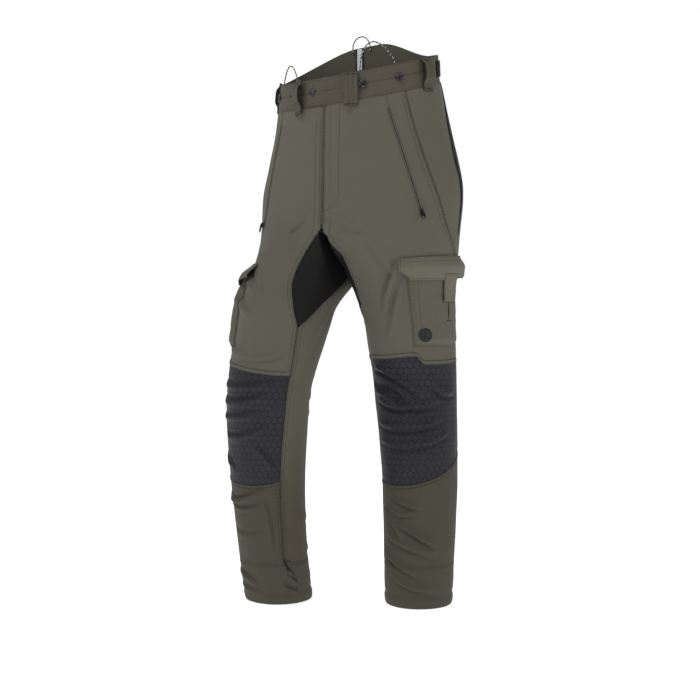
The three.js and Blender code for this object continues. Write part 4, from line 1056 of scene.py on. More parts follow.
def belt_seat(turn, up):
    across = belt(turn + 0.5, up) - belt(turn - 0.5, up)
    rise = belt(turn, up + 0.5) - belt(turn, up - 0.5)
    return seat_frame(belt(turn, up), np.cross(unit(rise), across), rise)


BUTTON = 8.5
BUTTONS = {"front_left": 38.9, "front_right": -38.9, "side_left": 64.3, "side_right": -64.3,
           "back_left": 171, "back_right": -171}
for name, turn in BUTTONS.items():
    seat_here = belt_seat(turn, BAND_HEIGHT / 2)
    feet_turn, feet_up = np.meshgrid([-3, 0, 3], [-8, 0, 8])
    base = stand_off(seat_here, belt(turn + feet_turn, BAND_HEIGHT / 2 + feet_up)) + 0.5
    profile = [(BUTTON * 0.9, base), (BUTTON * 0.97, base + 0.4), (BUTTON, base + 1.2), (BUTTON, base + 2.4),
               (BUTTON * 0.975, base + 3.2), (BUTTON * 0.91, base + 3.8), (BUTTON * 0.83, base + 4.0),
               (BUTTON * 0.75, base + 3.8), (BUTTON * 0.68, base + 3.0), (BUTTON * 0.62, base + 2.5),
               (BUTTON * 0.5, base + 2.35), (BUTTON * 0.3, base + 2.3), (BUTTON * 0.08, base + 2.3)]
    body = turned(profile, seat_here)
    origin, right, outward, top = seat_here
    button = joined(f"brace_button_{name}", [body], button_black)
    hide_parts(f"brace_button_{name}")
    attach(button, "garment")
    crossing = []
    for sign in (1, -1):
        steps = np.linspace(-1, 1, 9)
        path = np.stack([1.6 * steps, 2.45 + 0.55 * (1 - steps ** 4), 1.6 * sign * steps], -1)
        points = place_grid(seat_here, path[:, 0], base + path[:, 1], path[:, 2])
        wire = tube(to_frame(points), 0.00042, 6)
        thread = collect(f"button_thread_{name}_{'up' if sign > 0 else 'down'}", wire, button_thread)
        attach(thread, "garment")

stud_seat = belt_seat(-11.8, BAND_HEIGHT / 2)
base = 0.9 + CLOTH + 0.5
stud = joined("waist_snap", [turned([(7.4, base), (7.9, base + 0.5), (8, base + 1.0), (7.6, base + 1.6),
                                     (6.6, base + 1.9), (5.8, base + 1.7), (5.2, base + 1.25),
                                     (2, base + 1.1),
                                     (0.4, base + 1.1)], stud_seat)], button_black)
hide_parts("waist_snap")
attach(stud, "garment")


# ---- Waist adjusters and hanger tape -----------------------------------------------------
# Black hook-and-loop straps at the sides have a bound edge and grip a pad on the band.  A
# white woven tape with dark edges, without letters, is sewn inside the back to hang them by.
hook, hook_shader, here, chart = new_finish("hook_and_loop", 0.75, gloss=0.25)
across, up, _ = chart.axes()
fuzz = here.noise(1400.0, 4.0, 0.7)
knit = (across * 3600).sine() * (up * 3600).sine()
feed(hook_shader, Base_Color=fuzz.rise(0.3, 0.8).blend(tone(8, 8, 9), tone(34, 34, 37)),
     Normal=(fuzz + knit * 0.35).bump(0.5, 0.0006))
for word, side in SIDES:
    start, stop = side * 95, side * 139
    strap = band_piece(f"waist_adjuster_{word}", start, stop, 11.5, 45.5, 40, 14, 0.9 + CLOTH, CLOTH, hook)
    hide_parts(f"waist_adjuster_{word}")
    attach(strap, f"{word}_adjuster")

tape_finish, tape_shader, here, chart = new_finish("woven_tape", 0.7)
across, up, _ = chart.axes()
rib = (up * 5200).sine()
stripe = across.size().rise(0.0052, 0.0056)
feed(tape_shader, Base_Color=stripe.blend(tone(206, 210, 212), tone(24, 34, 40)),
     Normal=rib.bump(0.3, 0.0003))
TAPE_TURN, TAPE_WIDE, TAPE_LONG = -148, 18, 48
tape_top = float(band_top(TAPE_TURN)) - 2
tape_seat = belt_seat(TAPE_TURN, tape_top - TAPE_LONG / 2)
a, b = np.meshgrid(np.linspace(-1, 1, 15), np.linspace(-1, 1, 33))
bow = 0.5 * np.cos(a * math.pi / 2) + 0.4 * np.sin(b * 5)
outer = place_grid(tape_seat, a * TAPE_WIDE / 2, -(BAND_THICKNESS + 1.4) - bow * 0.5, b * TAPE_LONG / 2)
inner = place_grid(tape_seat, a * TAPE_WIDE / 2, -(BAND_THICKNESS + 0.8) - bow * 0.5, b * TAPE_LONG / 2)
uv = np.stack([a * TAPE_WIDE / 2, b * TAPE_LONG / 2], -1) * 0.001
tape = cloth_piece("hanger_tape", inner, outer, uv, uv * 0 + 0.01, tape_finish)
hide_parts("hanger_tape")
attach(tape, "garment")


# ---- Fly --------------------------------------------------------------------------------
# The left front laps over a coil zip behind the front centre, backed by a facing and by a
# shield on the right.  Its slider hangs at the top.
zip_tape, zip_shader, here, chart = new_finish("zip_tape", 0.6)
tooth = (here.axes()[2] * 4200).sine()
feed(zip_shader, Base_Color=tooth.rise(-0.4, 0.6).blend(tone(8, 8, 9), tone(30, 30, 32)),
     Normal=tooth.bump(0.5, 0.0005))
zip_metal, metal_shader, here, chart = new_finish("black_zip_metal", 0.36, metallic=0.55, coat=0.3)
rub = here.noise(700.0, 5.0, 0.65)
feed(metal_shader, Base_Color=rub.rise(0.45, 0.85).blend(tone(14, 14, 15), tone(48, 48, 50)),
     Roughness=rub * 0.25 + 0.22)

for node, finish in (("fly_zip", zip_tape), ("fly_slider", zip_metal), ("fly_shield", band_cloth)):
    for material_slot in bpy.data.objects[node].material_slots:
        material_slot.material = finish


def beside_fly(distance):
    def angle(side, height):
        x, y = along(LEGS[side], height)[:2]
        front = along(BODY, height)[1]
        return -np.degrees(np.arctan2(x - distance, front + y))
    return angle


facing = leg_panel("fly_facing", 1, band_cloth, beside_fly(7.3), beside_fly(38), level_line(800),
                   level_line(1000),
                   10, 60, out=-4.0, thickness=1.2, seam=0.5)
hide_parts("fly_facing")
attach(facing, "garment")

# The lap's edge, standing a little proud of the right front.
lap = leg_panel("fly_lap", 1, olive_cloth, lambda s, h: centre_angle(s, h, False) - 0.35,
                beside_fly(5.5), level_line(776), lambda s, a: waist_edge(s, a) - 0.4, 4, 70, out=1.5,
                thickness=1.0, seam=0.6)
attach(lap, "garment")


# ---- Hand pockets -----------------------------------------------------------------------
# Slanting zips on the hips, each a coil between two narrow welts of the trouser cloth, with
# a slider whose drop-shaped puller hangs at the bottom when the pocket is shut.
def mid_ground(low_turn, low_up, high_turn, high_up, side):
    """The straight seat of a zip, as the model sets it."""
    low, high = skin(side, low_turn, low_up), skin(side, high_turn, high_up)
    turn, up = (low_turn + high_turn) / 2, (low_up + high_up) / 2
    across = skin(side, turn + 0.5, up) - skin(side, turn - 0.5, up)
    rise = unit(skin(side, turn, up + 0.5) - skin(side, turn, up - 0.5))
    inward = unit(np.cross(rise, across) * side)
    # The seat's inward direction is square to the surface, then to the zip's own run.
    return seat_frame((low + high) / 2, inward, high - low), float(np.linalg.norm(high - low))


ZIP_LOW, ZIP_HIGH = (52, 785), (24, 1000)
for word, side in SIDES:
    zip_frame, zip_length = mid_ground(*ZIP_LOW, *ZIP_HIGH, side)
    share = np.linspace(0, 1, 21)[:, None]
    under = skin(side, mix(ZIP_LOW[0], ZIP_HIGH[0], share) + np.array([[-2, 0, 2]]),
                 mix(ZIP_LOW[1], ZIP_HIGH[1], share))
    face = stand_off(zip_frame, under) + 0.6
    # The coil follows the cloth between its welts; the welts lean in over it.
    t = np.linspace(0, 1, 120)
    line = cloth(side, mix(ZIP_LOW[0], ZIP_HIGH[0], t), mix(ZIP_LOW[1], ZIP_HIGH[1], t), 0.0)
    height_out = (line - zip_frame[0]) @ zip_frame[2]
    run = (line - zip_frame[0]) @ zip_frame[3]
    profile_across = np.array([-3.5, -3.2, -2.6, -1.5, -0.9, -0.6, 0.6, 0.9, 1.5, 2.6, 3.2, 3.5])
    profile_out = np.array([-0.9, 0.5, 1.15, 1.25, 0.7, -0.2, -0.2, 0.7, 1.25, 1.15, 0.5, -0.9]) * 0.8
    a, k = np.meshgrid(profile_across, np.arange(len(t)))
    lift = np.minimum(height_out[k], face)
    outer = place_grid(zip_frame, a, np.minimum(lift + 1.1, face + 0.4) + profile_out[None, :], run[k])
    inner = place_grid(zip_frame, a, lift - 0.5 + 0 * a, run[k])
    uv = np.stack([a, run[k]], -1) * 0.001
    edge = np.stack([3.5 - np.abs(a) + 0.2, np.full(a.shape, 9.0)], -1) * 0.001
    welt = cloth_piece(f"pocket_zip_{word}", outer, inner, uv, edge, olive_cloth)
    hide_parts(f"pocket_zip_{word}")
    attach(welt, "garment")
    coil_line = place_grid(zip_frame, 0 * t, np.minimum(height_out, face) + 0.75, run)
    coil = collect(f"pocket_coil_{word}", tube(to_frame(coil_line), 0.00072, 8), zip_tape)
    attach(coil, "garment")

    # Slider: a domed body with a bridge; puller: a rounded drop with a hole and a raised rim.
    slider_face = face + 1.6 + 0.3
    low = -zip_length / 2
    a, b = np.meshgrid(np.linspace(-1, 1, 17), np.linspace(0, 1, 21))
    waist = 1 - 0.22 * np.sin(b * math.pi) ** 2
    dome = 3 * np.clip(1 - np.abs(a) ** 3.5, 0, 1) ** 0.6 * np.clip(1 - np.abs(2 * b - 1) ** 6, 0, 1) ** 0.5
    dome = np.maximum(dome, 0.15)
    outer = place_grid(zip_frame, a * 4.5 * waist, slider_face + dome, low + b * 12)
    inner = place_grid(zip_frame, a * 4.5 * waist, slider_face + 0 * a, low + b * 12)
    body = cloth_piece(f"pocket_slider_{word}", outer, inner, np.stack([a, b], -1), np.stack([a, b], -1),
                       zip_metal)
    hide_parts(f"pocket_slider_{word}")
    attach(body, f"{word}_pocket_slider")

    top = low + 12
    out0 = slider_face + 3 + 0.3
    outline_t = np.linspace(0, 2 * math.pi, 40, endpoint=False)
    drop_y = -10.5 + 10.3 * np.cos(outline_t) - 2.4
    drop_x = 4.9 * np.sin(outline_t) * (0.62 + 0.38 * smooth(0, -14, drop_y))
    hole_y = -19 + 3.6 * np.cos(outline_t)
    hole_x = 2.1 * np.sin(outline_t)
    loops = []
    for scale, depth in ((0.0, 0.0), (0.0, 1.1), (0.12, 1.6), (0.45, 1.6), (0.62, 1.1), (0.9, 1.1),
                         (1.0, 0.9), (1.0, 0.0)):
        loops.append(place_grid(zip_frame, mix(drop_x, hole_x, scale), np.full(40, out0 + depth * 0.95),
                                top + mix(drop_y, hole_y, scale)))
    vertices = np.concatenate(loops)
    faces = []
    for k in range(len(loops)):
        after = (k + 1) % len(loops)
        for i in range(40):
            j = (i + 1) % 40
            faces.append((k * 40 + i, after * 40 + i, after * 40 + j, k * 40 + j))
    puller = joined(f"pocket_puller_{word}", [(vertices, faces)], zip_metal)
    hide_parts(f"pocket_puller_{word}")
    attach(puller, f"{word}_pocket_puller")

    bag = leg_panel(f"pocket_bag_{word}", side, band_cloth, lambda s, h: np.full(np.shape(h), 26.0),
                    lambda s, h: np.full(np.shape(h), 60.0), level_line(782), level_line(960),
                    16, 30, out=-4.4, thickness=1.6, seam=0.6)
    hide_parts(f"pocket_bag_{word}")
    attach(bag, "garment")


# ---- Cargo pockets ----------------------------------------------------------------------
# A patch pocket on the outside of each thigh, with a pleat at its front, closed by a shaped
# flap with a pull tab.  The left one has a pen slot and a plain round badge.
POCKET_TURNS, FLAP_TURNS = (34, 106), (26, 112)
pocket_cloth = cloth_finish("pocket_cloth", tone(88, 85, 74))
flap_cloth = cloth_finish("flap_cloth", tone(98, 95, 83))


def flap_seam(angle):
    return mix(702, 715, (np.asarray(angle, float) - 26) / 86)


def pocket_out(u, v):
    """How far the pocket stands off the leg, in mm, by its share across and up."""
    across_rise = smooth(0.0, 0.11, u) * smooth(1.0, 0.86, u)
    up_rise = smooth(0.0, 0.10, v)
    belly = 1 - 0.28 * (2 * u - 1) ** 2 - 0.22 * (1 - v) ** 2
    crease = 0.9 * np.exp(-((u - 0.17 - 0.02 * np.sin(5 * v)) / 0.018) ** 2) \
        + 1.2 * np.exp(-((v - 0.30 - 0.25 * (u - 0.4)) / 0.05) ** 2) * np.exp(-((u - 0.42) / 0.26) ** 2) \
        + 0.9 * np.exp(-((v - 0.64 + 0.35 * (u - 0.6)) / 0.05) ** 2) * np.exp(-((u - 0.62) / 0.22) ** 2)
    return 2.0 + 10.6 * across_rise * up_rise * belly - crease * across_rise * up_rise


def pocket_place(side, u, v):
    angle = mix(*POCKET_TURNS, u)
    top = flap_seam(angle) - 27
    return angle, mix(529.0, top, v)


def wrinkle(u, v, seed):
    return 0.35 * waves(u * 90, v * 140, seed, 26)


for word, side in SIDES:
    u, v = np.meshgrid(np.concatenate([[0, 0.004, 0.012, 0.03, 0.05], np.linspace(0.07, 0.93, 70),
                                       [0.95, 0.97, 0.988, 0.996, 1]]),
                       np.concatenate([[0, 0.004, 0.012, 0.03, 0.05], np.linspace(0.07, 0.96, 70),
                                       [0.98, 0.992, 1]]))
    angle, height = pocket_place(side, u, v)
    off = pocket_out(u, v) + wrinkle(u, v, 21 + side) * smooth(0, 0.1, u) * smooth(1, 0.9, u)
    low = 0.5 * np.exp(-np.minimum(np.minimum(u, 1 - u) * 120, v * 140) / 1.0)
    outer = cloth(side, angle, height, np.minimum(off, 14.2) - low)
    inner = cloth(side, angle, height, np.maximum(np.minimum(off, 14.2) - 1.5, 0.9) - 0.4)
    uv = np.stack([angle * PER_DEGREE, height], -1) * 0.001
    edge = np.stack([np.minimum(u, 1 - u) * 120, np.minimum(v, 1 - v) * 140], -1) * 0.001
    pocket = cloth_piece(f"cargo_pocket_{word}", outer, inner, uv, edge, pocket_cloth, mirrored=side < 0)
    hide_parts(f"cargo_pocket_{word}")
    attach(pocket, "garment")

    # Flap: chamfered at its front corner, bowed over the pocket, with its pull tab.
    u, v = np.meshgrid(np.concatenate([[0, 0.004, 0.012, 0.03], np.linspace(0.05, 0.95, 70),
                                       [0.97, 0.988, 0.996, 1]]),
                       np.concatenate([[0, 0.01, 0.03], np.linspace(0.06, 0.94, 26), [0.97, 0.99, 1]]))
    angle = mix(*FLAP_TURNS, u)
    reach_down = 47 * (1 - 0.42 * smooth(0.15, 0.0, u) - 0.10 * smooth(0.9, 1.0, u)) - 1.2 * np.sin(u * 9)
    drop = v * reach_down
    off = mix(2.8, 15.8, smooth(0, 23.5, drop)) + 1.0
    turned_in = 0.8 * np.exp(-np.minimum(np.minimum(u, 1 - u) * 140, np.minimum(v, 1 - v) * 47) / 1.1)
    wave = 0.5 * np.sin(u * 14 + 1) * v
    outer = cloth(side, angle, flap_seam(angle) - drop, off + 0.6 - turned_in + wave * 0.6)
    inner = cloth(side, angle, flap_seam(angle) - drop, off - 0.9 + wave * 0.6)
    uv = np.stack([angle * PER_DEGREE, -drop], -1) * 0.001
    edge = np.stack([np.minimum(u, 1 - u) * 140, np.minimum(v, 1 - v) * 47], -1) * 0.001
    flap = cloth_piece(f"cargo_flap_{word}", outer[::-1], inner[::-1], uv[::-1], edge[::-1], flap_cloth,
                       mirrored=side < 0)
    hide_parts(f"cargo_flap_{word}")
    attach(flap, f"{word}_flap")

    u, v = np.meshgrid(np.concatenate([[0, 0.03, 0.08], np.linspace(0.15, 0.85, 14), [0.92, 0.97, 1]]),
                       np.concatenate([[0, 0.02, 0.05], np.linspace(0.1, 0.9, 20), [0.95, 0.98, 1]]))
    spread = 1 - 0.12 * v
    angle = 80.5 + (u - 0.5) * 19 * spread
    drop = mix(36, 91, v)
    off = 15.8 + 0.6
    turned_in = 0.5 * np.exp(-np.minimum(np.minimum(u, 1 - u) * 30, np.minimum(v, 1 - v) * 55) / 0.9)
    curl = 0.9 * np.sin(v * 2.4) * smooth(0.2, 0.6, v)
    outer = cloth(side, angle, flap_seam(angle) - drop, off + 1.9 - turned_in - curl * 0.6)
    inner = cloth(side, angle, flap_seam(angle) - drop, off + 0.5 - curl * 0.6)
    uv = np.stack([angle * PER_DEGREE, -drop], -1) * 0.001
    edge = np.stack([np.minimum(u, 1 - u) * 30, np.minimum(v, 1 - v) * 55], -1) * 0.001
    pull = cloth_piece(f"cargo_tab_{word}", outer[::-1], inner[::-1], uv[::-1], edge[::-1], flap_cloth,
                       mirrored=side < 0)
    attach(pull, f"{word}_flap")


# ---- Protective pads --------------------------------------------------------------------
# Layers of long fibres in a thin cover hang inside the front of each leg, and stop short of
# the hem.  The cover is quilted in upright channels.
pad_cover, pad_shader, here, chart = new_finish("pad_cover", 0.9)
across, up, _ = chart.axes()
fibre = (chart.noise(1500.0, 4.0, 0.7))
channel = (across / 0.022).fraction()
valley = (channel - 0.5).size().rise(0.40, 0.5)
# The cover's colour is darkened along the quilt channel valleys as painted shade; the fibre mottle is its own
# tone.
feed(pad_shader, Base_Color=(fibre - valley * 0.4).blend(tone(168, 162, 140), tone(222, 217, 200)),
     Normal=(fibre * 0.5 - valley).bump(0.5, 0.001))


def above_knee(side, angle):
    back = skin(side, angle, KNEE)[..., 1] - (along(LEGS[side], KNEE)[1] + 20)
    return KNEE + 0.6 * np.maximum(0, back)


def below_knee(side, angle):
    return 2 * KNEE - SEAM_GAP - above_knee(side, angle)


def pad_depth(height):
    return 5.0 + 3.8 * smooth(702, 772, height)


def padded_surface(side, angle, height, out=0.0):
    quilt = 0.5 * np.abs(np.sin(np.asarray(angle) * PER_DEGREE / 22 * math.pi)) - 0.5
    return cloth(side, angle, height, out - pad_depth(height) + np.where(np.asarray(out) > -4, quilt, 0))


for word, side in SIDES:
    upper = leg_panel(
        f"protective_pad_upper_{word}", side, pad_cover,
        lambda s, h: mix(-30, -15, smooth(level(1.6), level(2.05), h)),
        lambda s, h: mix(104, 66, smooth(level(1.6), level(2.3), h)),
        above_knee, level_line(WAIST_HEIGHT - 95), 50, 90, out=0, thickness=5, surface=padded_surface,
        seam=1.6)
    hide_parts(f"protective_pad_upper_{word}")
    lower = leg_panel(
        f"protective_pad_lower_{word}", side, pad_cover, lambda s, h: np.full(np.shape(h), -42.0),
        lambda s, h: np.full(np.shape(h), 104.0), level_line(HEM_BAND + 24), below_knee, 50, 50,
        out=0, thickness=5, surface=padded_surface, seam=1.6)
    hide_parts(f"protective_pad_lower_{word}")
    for piece in (upper, lower):
        knee_bend(piece, side)


# ---- Stitching --------------------------------------------------------------------------
# Every seam is topstitched in thread a shade darker than the cloth: double rows on the long
# seams, the hems and the knees, single rows on the pocket flaps, and dense bar tacks.
def stitch_tree():
    tree = bpy.data.node_groups.new("stitch_rows", "GeometryNodeTree")
    socket_of = {}
    for label, kind, value in (("Rows", "NodeSocketGeometry", None), ("Pitch", "NodeSocketFloat", 0.0032),
                               ("Stitch length", "NodeSocketFloat", 0.0024),
                               ("Thread width", "NodeSocketFloat", 0.0005),
                               ("Thread", "NodeSocketMaterial", None)):
        made = tree.interface.new_socket(label, in_out="INPUT", socket_type=kind)
        if value is not None:
            made.default_value = value
        socket_of[label] = made.identifier
    tree.interface.new_socket("Stitches", in_out="OUTPUT", socket_type="NodeSocketGeometry")
    nodes, links = tree.nodes, tree.links
    source, sink = nodes.new("NodeGroupInput"), nodes.new("NodeGroupOutput")
    to_curve, resample = nodes.new("GeometryNodeMeshToCurve"), nodes.new("GeometryNodeResampleCurve")
    resample.mode = "LENGTH"
    bead, sized = nodes.new("GeometryNodeMeshUVSphere"), nodes.new("GeometryNodeTransform")
    bead.inputs["Segments"].default_value = 5
    bead.inputs["Rings"].default_value = 4
    bead.inputs["Radius"].default_value = 0.5
    scale = nodes.new("ShaderNodeCombineXYZ")
    tangent, turn = nodes.new("GeometryNodeInputTangent"), nodes.new("FunctionNodeAlignRotationToVector")
    turn.axis = "X"
    place, real = nodes.new("GeometryNodeInstanceOnPoints"), nodes.new("GeometryNodeRealizeInstances")
    paint = nodes.new("GeometryNodeSetMaterial")
    links.new(source.outputs["Rows"], to_curve.inputs[0])
    links.new(to_curve.outputs[0], resample.inputs["Curve"])
    links.new(source.outputs["Pitch"], resample.inputs["Length"])
    links.new(source.outputs["Stitch length"], scale.inputs[0])
    links.new(source.outputs["Thread width"], scale.inputs[1])
    links.new(source.outputs["Thread width"], scale.inputs[2])
    links.new(bead.outputs["Mesh"], sized.inputs["Geometry"])
    links.new(scale.outputs[0], sized.inputs["Scale"])
    links.new(tangent.outputs[0], turn.inputs["Vector"])
    links.new(resample.outputs[0], place.inputs["Points"])
    links.new(sized.outputs[0], place.inputs["Instance"])
    links.new(turn.outputs[0], place.inputs["Rotation"])
    links.new(place.outputs[0], real.inputs[0])
    links.new(real.outputs[0], paint.inputs["Geometry"])
    links.new(source.outputs["Thread"], paint.inputs["Material"])
    links.new(paint.outputs[0], sink.inputs[0])
    return tree, socket_of


stitch_rows, stitch_inputs = stitch_tree()


def sew(name, rows, pitch=0.0032, length=0.0026, width=0.00068):
    """Stitches along rows of points, in mm above the hems, as one plain mesh."""
    vertices, edges, first = [], [], 0
    for row in rows:
        vertices.append(to_frame(row))
        edges += [(first + k, first + k + 1) for k in range(len(row) - 1)]
        first += len(row)
    mesh = bpy.data.meshes.new(name)
    mesh.from_pydata(np.concatenate(vertices).tolist(), edges, [])
    guide = bpy.data.objects.new(name + "_guide", mesh)
    bpy.context.collection.objects.link(guide)
    modifier = guide.modifiers.new("stitches", "NODES")
    modifier.node_group = stitch_rows
    for label, value in (("Pitch", pitch), ("Stitch length", length), ("Thread width", width),
                         ("Thread", button_thread)):
        modifier[stitch_inputs[label]] = value
    graph = bpy.context.evaluated_depsgraph_get()
    made = bpy.data.meshes.new_from_object(guide.evaluated_get(graph))
    bpy.data.objects.remove(guide)
    stitches = collect(name, made, button_thread)
    return stitches


def seam_row(side, seam, away, low, high, out=0.15):
    """A row beside an upright seam, that many mm from it."""
    height = np.arange(low, high, 3.0)
    return cloth(side, seam(side, height) + away / PER_DEGREE, height, out)


def level_row(side, line, away, start, stop, out=0.15):
    """A row beside a level edge, that many mm from it."""
    angle = np.arange(start, stop, 1.5)
    return cloth(side, angle, line(side, angle) + away, out)


for word, side in SIDES:
    rows = []
    for away in (-3.0, -8.5):
        rows.append(seam_row(side, side_seam, away, 92, knee_bottom(side, 118) - 4))
        rows.append(seam_row(side, side_seam, away, 522, 1030))
    for away in (3.0, 8.5):
        rows.append(seam_row(side, side_seam, away, 322, 640))
    for away in (3.0, 8.5):
        rows.append(seam_row(side, front_seam, away, 92, 240))
        rows.append(seam_row(side, front_seam, away, 520, 990 if side < 0 else 786))
        rows.append(seam_row(side, back_seam, -away, 92, 1000))
    for away in (-2.8, 2.8):
        rows.append(level_row(side, knee_top, away, -54, 108, 1.5))
    rows.append(level_row(side, knee_bottom, -4.2, -58, 112, 1.5))
    stitches = sew(f"leg_stitches_{word}", rows)
    knee_bend(stitches, side)

    hem_angle = np.arange(-58, 302.1, 2.0)
    hem_rows = [hem_shape(side, hem_angle, 84.2, 0.2), hem_shape(side, hem_angle, 80.4, 0.2)]
    stitches = sew(f"hem_stitches_{word}", hem_rows)
    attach(stitches, f"{word}_shin")

    # Pocket flap and pocket.
    t = np.linspace(0, 1, 60)

    def on_flap(u, v, out=0.75):
        angle = mix(*FLAP_TURNS, u)
        reach_down = 47 * (1 - 0.42 * smooth(0.15, 0.0, u) - 0.10 * smooth(0.9, 1.0, u)) - 1.2 * np.sin(u * 9)
        drop = v * reach_down
        off = mix(2.8, 15.8, smooth(0, 23.5, drop)) + 1.6 + 0.3 * np.sin(u * 14 + 1) * v
        return cloth(side, angle, flap_seam(angle) - drop, off + out - 0.6)

    flap_rows = [on_flap(mix(0.03, 0.97, t), 0 * t + 0.93), on_flap(0 * t + 0.025, mix(0.05, 0.9, t)),
                 on_flap(0 * t + 0.975, mix(0.05, 0.9, t)), on_flap(mix(0.01, 0.99, t), 0 * t + 0.06),
                 on_flap(mix(0.01, 0.99, t), 0 * t + 0.20)]
    stitches = sew(f"flap_stitches_{word}", flap_rows)
    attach(stitches, f"{word}_flap")

    def on_pocket(u, v, out=0.25):
        angle, height = pocket_place(side, u, v)
        off = pocket_out(u, v) + wrinkle(u, v, 21 + side) * smooth(0, 0.1, u) * smooth(1, 0.9, u)
        return cloth(side, angle, height, np.minimum(off, 14.2) + out)

    pocket_rows = [on_pocket(0 * t + 0.022, mix(0.02, 0.98, t)), on_pocket(0 * t + 0.14, mix(0.04, 0.98, t)),
                   on_pocket(0 * t + 0.978, mix(0.02, 0.98, t)), on_pocket(mix(0.02, 0.98, t), 0 * t + 0.022)]
    body_rows = [seam_row(side, lambda s, h: along(INSERT_FRONT, h)[0], -3.0, 752, 1020),
                 seam_row(side, lambda s, h: along(INSERT_BACK, h)[0], 3.0, 752, 1020)]
    # The pocket seam carries on above the zip to the waist, sewn twice.
    for beside in (0.0, 1.8):
        seam_up = np.linspace(1002, float(waist_edge(side, np.array(20.0))) - 1.5, 14)
        body_rows.append(cloth(side, ZIP_HIGH[0] - 0.13 * (seam_up - 1000) + beside, seam_up, 0.2))
    stitches = sew(f"pocket_stitches_{word}", pocket_rows + body_rows)
    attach(stitches, "garment")

# The fly's stitches run down the lap and curve in to its edge, with the waistband's rows.
height = np.arange(838, 1016, 3.0)
fly_rows = [cloth(1, beside_fly(38)(1, height), height, 0.15)]
bend = np.linspace(0, math.pi / 2, 24)
curve_height = 838 - 34 * np.sin(bend)
curve_reach = 3 + 35 * np.cos(bend) ** 0.9
fly_rows.append(np.stack([cloth(1, float(beside_fly(r)(1, np.array(h))), h, 0.15) for r,
                          h in zip(curve_reach, curve_height)]))
fly_rows.append(cloth(1, centre_angle(1, np.arange(804, 1014, 3.0), False) + 1.0, np.arange(804, 1014, 3.0),
                      1.75))
turns = np.arange(1.5, 98.6, 0.8)
for sign in (1, -1):
    fly_rows.append(draped_belt(sign * turns, 2.6 + 0 * turns, 0.2))
    fly_rows.append(draped_belt(sign * turns, band_top(sign * turns) - 3.0, 0.2))
    for away in (2.8, -2.8):
        fly_rows.append(draped_belt(sign * turns, middle_seam(sign * turns) + away, 0.25))
turns = np.arange(101.5, 258.6, 0.8)
for up in (2.6 + 0 * turns, band_top(turns) - 3.0, middle_seam(turns) + 2.8, middle_seam(turns) - 2.8):
    fly_rows.append(draped_belt(turns, up, 0.25))
stitches = sew("fly_and_band_stitches", fly_rows)
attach(stitches, "garment")
tab_turns = np.arange(-20, -1, 0.8)
tab_rows = [draped_belt(tab_turns, up + 0 * tab_turns, 0.9 + CLOTH + 0.2) for up in (6.0, BAND_HEIGHT - 6.0)]
tab_up = np.linspace(6, BAND_HEIGHT - 6, 20)
tab_rows.append(draped_belt(-20 + 0 * tab_up, tab_up, 0.9 + CLOTH + 0.2))
stitches = sew("tab_stitches", tab_rows)
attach(stitches, "overlap_tab")

# Belt loops: ribs of stitches and bar tacks at both ends.
loop_rows, tacks = [], []
for name, (frame_here, base) in loop_frames.items():
    line = smooth_path([(d, h, 0) for d, h in LOOP_LINE], 1.0)[3:-3, :2]
    for a in (-0.72, -0.24, 0.24, 0.72):
        loop_rows.append(place_grid(frame_here, np.full(len(line), a * LOOP_WIDTH / 2),
                                    base + line[:, 0] + 2.0, line[:, 1]))
    wide = np.linspace(-0.9, 0.9, 20) * LOOP_WIDTH / 2
    for up, out in ((-8.5, 0.0), (-7.7, 0.0), (51.5, 0.2), (52.3, 0.2)):
        tacks.append(place_grid(frame_here, wide * 0.92, np.full(20, base + out + 2.15), np.full(20, up)))
stitches = sew("loop_stitches", loop_rows, width=0.00042)
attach(stitches, "garment")
stitches = sew("bar_tacks", tacks, pitch=0.0008, length=0.0011, width=0.0006)
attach(stitches, "garment")


# ---- Badge, pen slot and ankle tab ---------------------------------------------------------
# A plain moulded badge is heat-bonded low on the left cargo pocket, beside a slot for a pen
# under the pull tab.  A small tab gathers the right hem at its inner side.
rubber, rubber_shader, here, chart = new_finish("badge_rubber", 0.5, coat=0.1)
speck = here.noise(1600.0, 3.0)
feed(rubber_shader, Base_Color=speck.blend(tone(12, 12, 13), tone(30, 30, 31)),
     Normal=speck.bump(0.2, 0.0003))
badge_u, badge_v = (48 - POCKET_TURNS[0]) / 72, 0.15


def pocket_point(u, v, out):
    angle, height = pocket_place(1, u, v)
    off = pocket_out(u, v) + wrinkle(u, v, 22) * smooth(0, 0.1, u) * smooth(1, 0.9, u)
    return cloth(1, angle, height, np.minimum(off, 14.2) + out)


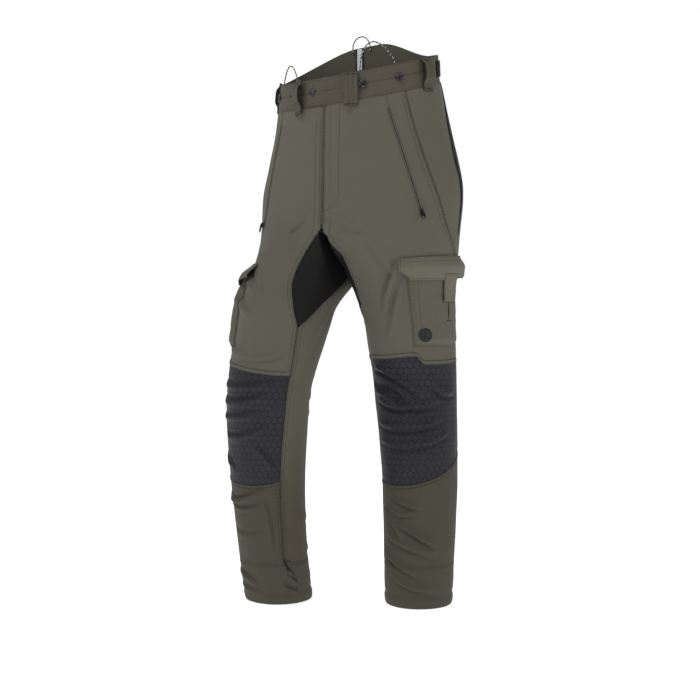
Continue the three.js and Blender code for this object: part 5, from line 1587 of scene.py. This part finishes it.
rings, around = np.meshgrid(np.array([0.05, 0.3, 0.55, 0.62, 0.68, 0.74, 0.8, 0.9, 0.96, 1.0]),
                            np.linspace(0, 2 * math.pi, 49)[:-1])
rings, around = rings.T, around.T
rise = 0.35 + 0.35 * ((rings > 0.6) & (rings < 0.7)) + 0.45 * ((rings > 0.78) & (rings < 0.98))
across_u = badge_u + rings * np.cos(around) * 13.5 / 122
across_v = badge_v + rings * np.sin(around) * 13.5 / 142
outer = pocket_point(across_u, across_v, rise)
inner = pocket_point(across_u, across_v, 0.05)
uv = np.stack([rings * np.cos(around), rings * np.sin(around)], -1) * 0.0135
uv = np.concatenate([uv, uv[:, :1]], 1)
badge = cloth_piece("badge", outer, inner, uv, uv * 0 + 0.01, rubber, ring=True)
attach(badge, "garment")

u, v = np.meshgrid(np.linspace(-1, 1, 9), np.linspace(0, 1, 25))
slot_wide = 1.7 * np.sin(math.pi * np.clip(v, 0.02, 0.98)) ** 0.7
outer = pocket_point((81 - POCKET_TURNS[0]) / 72 + u * slot_wide / 122, 0.34 + v * 0.24,
                     0.3 - 0.2 * (np.abs(u) < 0.5))
inner = pocket_point((81 - POCKET_TURNS[0]) / 72 + u * slot_wide / 122, 0.34 + v * 0.24, 0.02)
pen_slot = cloth_piece("pen_slot", outer, inner, np.stack([u, v], -1) * 0.01, np.stack([u, v], -1) * 0 + 0.01,
                       black_stretch)
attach(pen_slot, "garment")
t = np.linspace(-1, 1, 14)
pocket_tacks = [pocket_point((81 - POCKET_TURNS[0]) / 72 + t * 6 / 122, 0.335 + 0 * t + shift,
                             0.35) for shift in (0, 0.006)]
stitches = sew("pen_slot_tacks", pocket_tacks, pitch=0.0008, length=0.0011, width=0.0006)
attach(stitches, "garment")

u, v = np.meshgrid(np.linspace(-1, 1, 11), np.linspace(0, 1, 24))
lift = 1.1 * np.sin(math.pi * v) + 0.4
outer = hem_shape(-1, -64 + u * 3.4 + 1.5 * v, mix(90, 62, v), lift + 1.2)
inner = hem_shape(-1, -64 + u * 3.4 + 1.5 * v, mix(90, 62, v), lift)
ankle = cloth_piece("ankle_tab", outer[::-1], inner[::-1], np.stack([u * 6, v * 40], -1)[::-1] * 0.001,
                    np.stack([6 - np.abs(u) * 6, v * 40], -1)[::-1] * 0.001, shin_cloth, mirrored=True)
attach(ankle, "right_shin")
